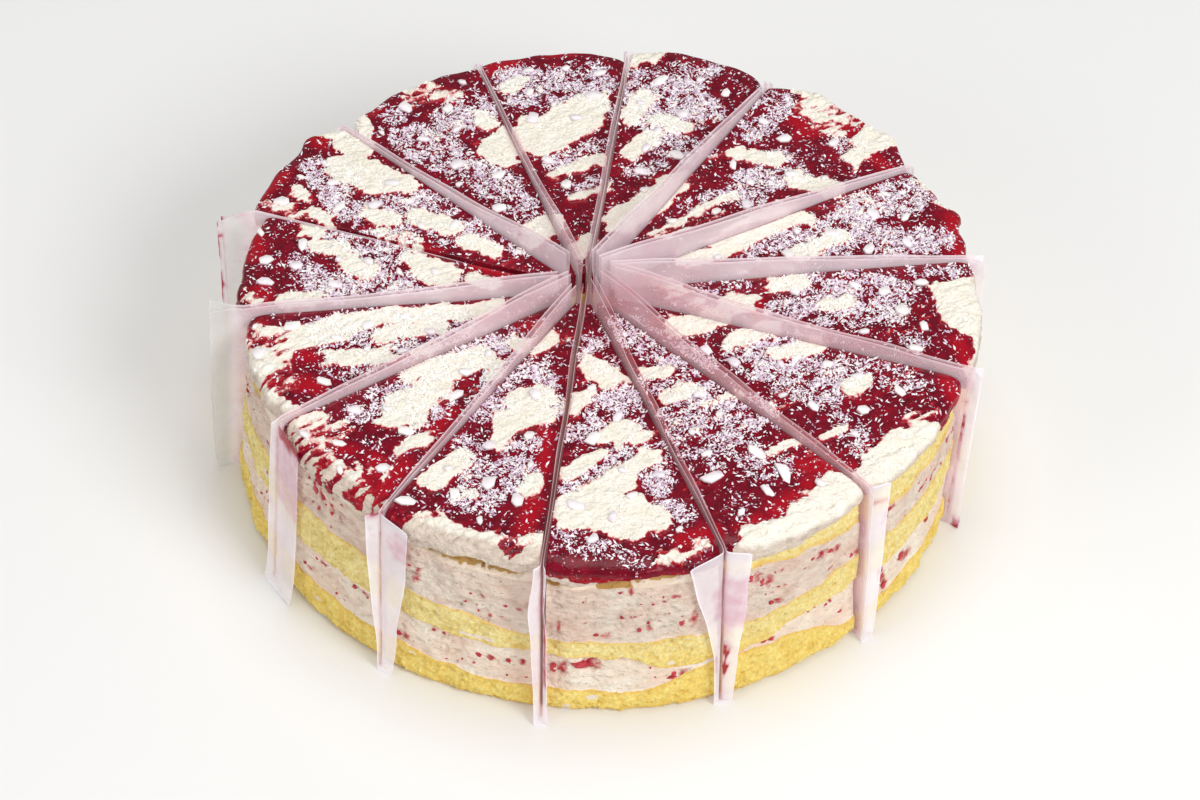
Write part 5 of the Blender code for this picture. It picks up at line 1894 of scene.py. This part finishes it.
# Bits nearer to a cut than this share of the portion are left out
CUT_SHARE = 0.03
BIT_DEPTH = 0.55


def wall_place(angle, height):
    """A place on the cream's wall, or None for one that is too near to a cut."""
    for portion in PORTIONS:
        across = ((angle - portion.start) % math.tau) / portion.sweep
        if CUT_SHARE < across < 1 - CUT_SHARE:
            across = np.array(across)
            distance = portion.side_distance(across, np.array(height), LAYER_BULGE[1])
            return portion.place(across, distance)
    return None


def sink_bit(shell, ball, bit, dice):
    """One lump, as wide and tall as the bit, and flat along the way out."""
    angle, height, width, tall = bit
    spot = wall_place(math.radians(angle), height * MM)
    if spot is None:
        return
    size = np.array((BIT_DEPTH, 0.5 * width, 0.5 * tall)) * MM
    uneven = np.array([dice.uniform(0.75, 1.15) for _ in ball.vertices])[:, None]
    points = np.array([corner.co for corner in ball.vertices]) * 2 * uneven * size
    out = math.radians(angle)
    turned = stack(
        points[:, 0] * math.cos(out) - points[:, 1] * math.sin(out),
        points[:, 0] * math.sin(out) + points[:, 1] * math.cos(out), points[:, 2],
    )
    numbers = shell.add(turned + (*spot, height * MM))
    corners = np.array([tuple(face.vertices) for face in ball.polygons])
    shell.triangles(*numbers[corners].T)


BERRY_FINISH = make_berry_finish()
bit_shell, bit_dice = Shell(), random.Random(BITS_SEED)
bit_ball = lump("berry bit", bit_dice, 0.0, 2)
for bit in BITS:
    sink_bit(bit_shell, bit_ball, bit, bit_dice)
add_piece("berry_bits", bit_shell.mesh("berry_bits"), BERRY_FINISH, "jam")
print("berry bits:", len(bit_shell.points))

# %% [markdown]
# ## Stage, light and camera
# A white floor, a large soft light from the front right, one from above and a weak one from the left, in a
# pale room. The shadow of the cake falls softly to the back and the left.

# %% Floor
FLOOR_HALF, FLOOR_LEVEL = 3.0, -0.4 * MM
FLOOR_COLOUR = (0.885, 0.885, 0.88, 1.0)


def make_floor():
    mesh = bpy.data.meshes.new("floor")
    edge = FLOOR_HALF
    corners = ((-edge, -edge), (edge, -edge), (edge, edge), (-edge, edge))
    mesh.from_pydata([(x, y, FLOOR_LEVEL) for x, y in corners], [], [(0, 1, 2, 3)])
    floor = bpy.data.objects.new("floor", mesh)
    bpy.context.scene.collection.objects.link(floor)
    material, _, inputs, _ = new_material("floor", Roughness=0.7, Specular_IOR_Level=0.2)
    inputs["Base Color"].default_value = FLOOR_COLOUR
    mesh.materials.append(material)


make_floor()
print("floor half width:", FLOOR_HALF, "m")

# %% Light
# Name, place and width in metres, and power in watts
LIGHTS = (
    ("key", (1.05, -1.15, 1.25), 0.9, 20.5), ("overhead", (0.1, 0.25, 1.9), 1.2, 12),
    ("left", (-1.3, -0.9, 0.8), 1.0, 6),
)
ROOM_COLOUR, ROOM_STRENGTH = (1.0, 0.995, 0.985, 1.0), 0.37


def add_light(name, place, size, power):
    """A round soft light that points at the middle of the foot."""
    lamp = bpy.data.lights.new(name, "AREA")
    lamp.shape = "DISK"
    lamp.size = size
    lamp.energy = power
    light = bpy.data.objects.new(name, lamp)
    light.location = place
    light.rotation_euler = (-Vector(place)).to_track_quat("-Z", "Y").to_euler()
    bpy.context.scene.collection.objects.link(light)


def make_world():
    world = bpy.data.worlds.new("studio")
    world.use_nodes = True
    background = world.node_tree.nodes["Background"].inputs
    background["Color"].default_value = ROOM_COLOUR
    background["Strength"].default_value = ROOM_STRENGTH
    bpy.context.scene.world = world


make_world()
for light_values in LIGHTS:
    add_light(*light_values)
bpy.context.scene.view_settings.view_transform = "Standard"

# %% Camera
LENS_MM = 105.0
SENSOR_MM = 36.0
CAMERA_DISTANCE = 9.8807 * CAKE_RADIUS
ELEVATION = math.radians(46.128)
YAW, PITCH, ROLL = (math.radians(angle) for angle in (0.076, -0.605, -0.732))


def make_camera():
    camera = bpy.data.objects.new("camera", bpy.data.cameras.new("camera"))
    camera.data.lens = LENS_MM
    camera.data.sensor_width = SENSOR_MM
    right = Vector((1, 0, 0))
    back = Vector((0, -math.cos(ELEVATION), math.sin(ELEVATION)))
    up = back.cross(right)
    seen = Matrix((right, up, back))
    turns = ((ROLL, "Z"), (PITCH, "X"), (YAW, "Y"))
    roll, pitch, yaw = (Matrix.Rotation(angle, 3, axis) for angle, axis in turns)
    turned = roll @ pitch @ yaw @ seen
    camera.matrix_world = Matrix.Translation(back * CAMERA_DISTANCE) @ turned.transposed().to_4x4()
    bpy.context.scene.collection.objects.link(camera)
    bpy.context.scene.camera = camera


make_camera()
print("camera at", tuple(round(c, 3) for c in bpy.context.scene.camera.matrix_world.translation))
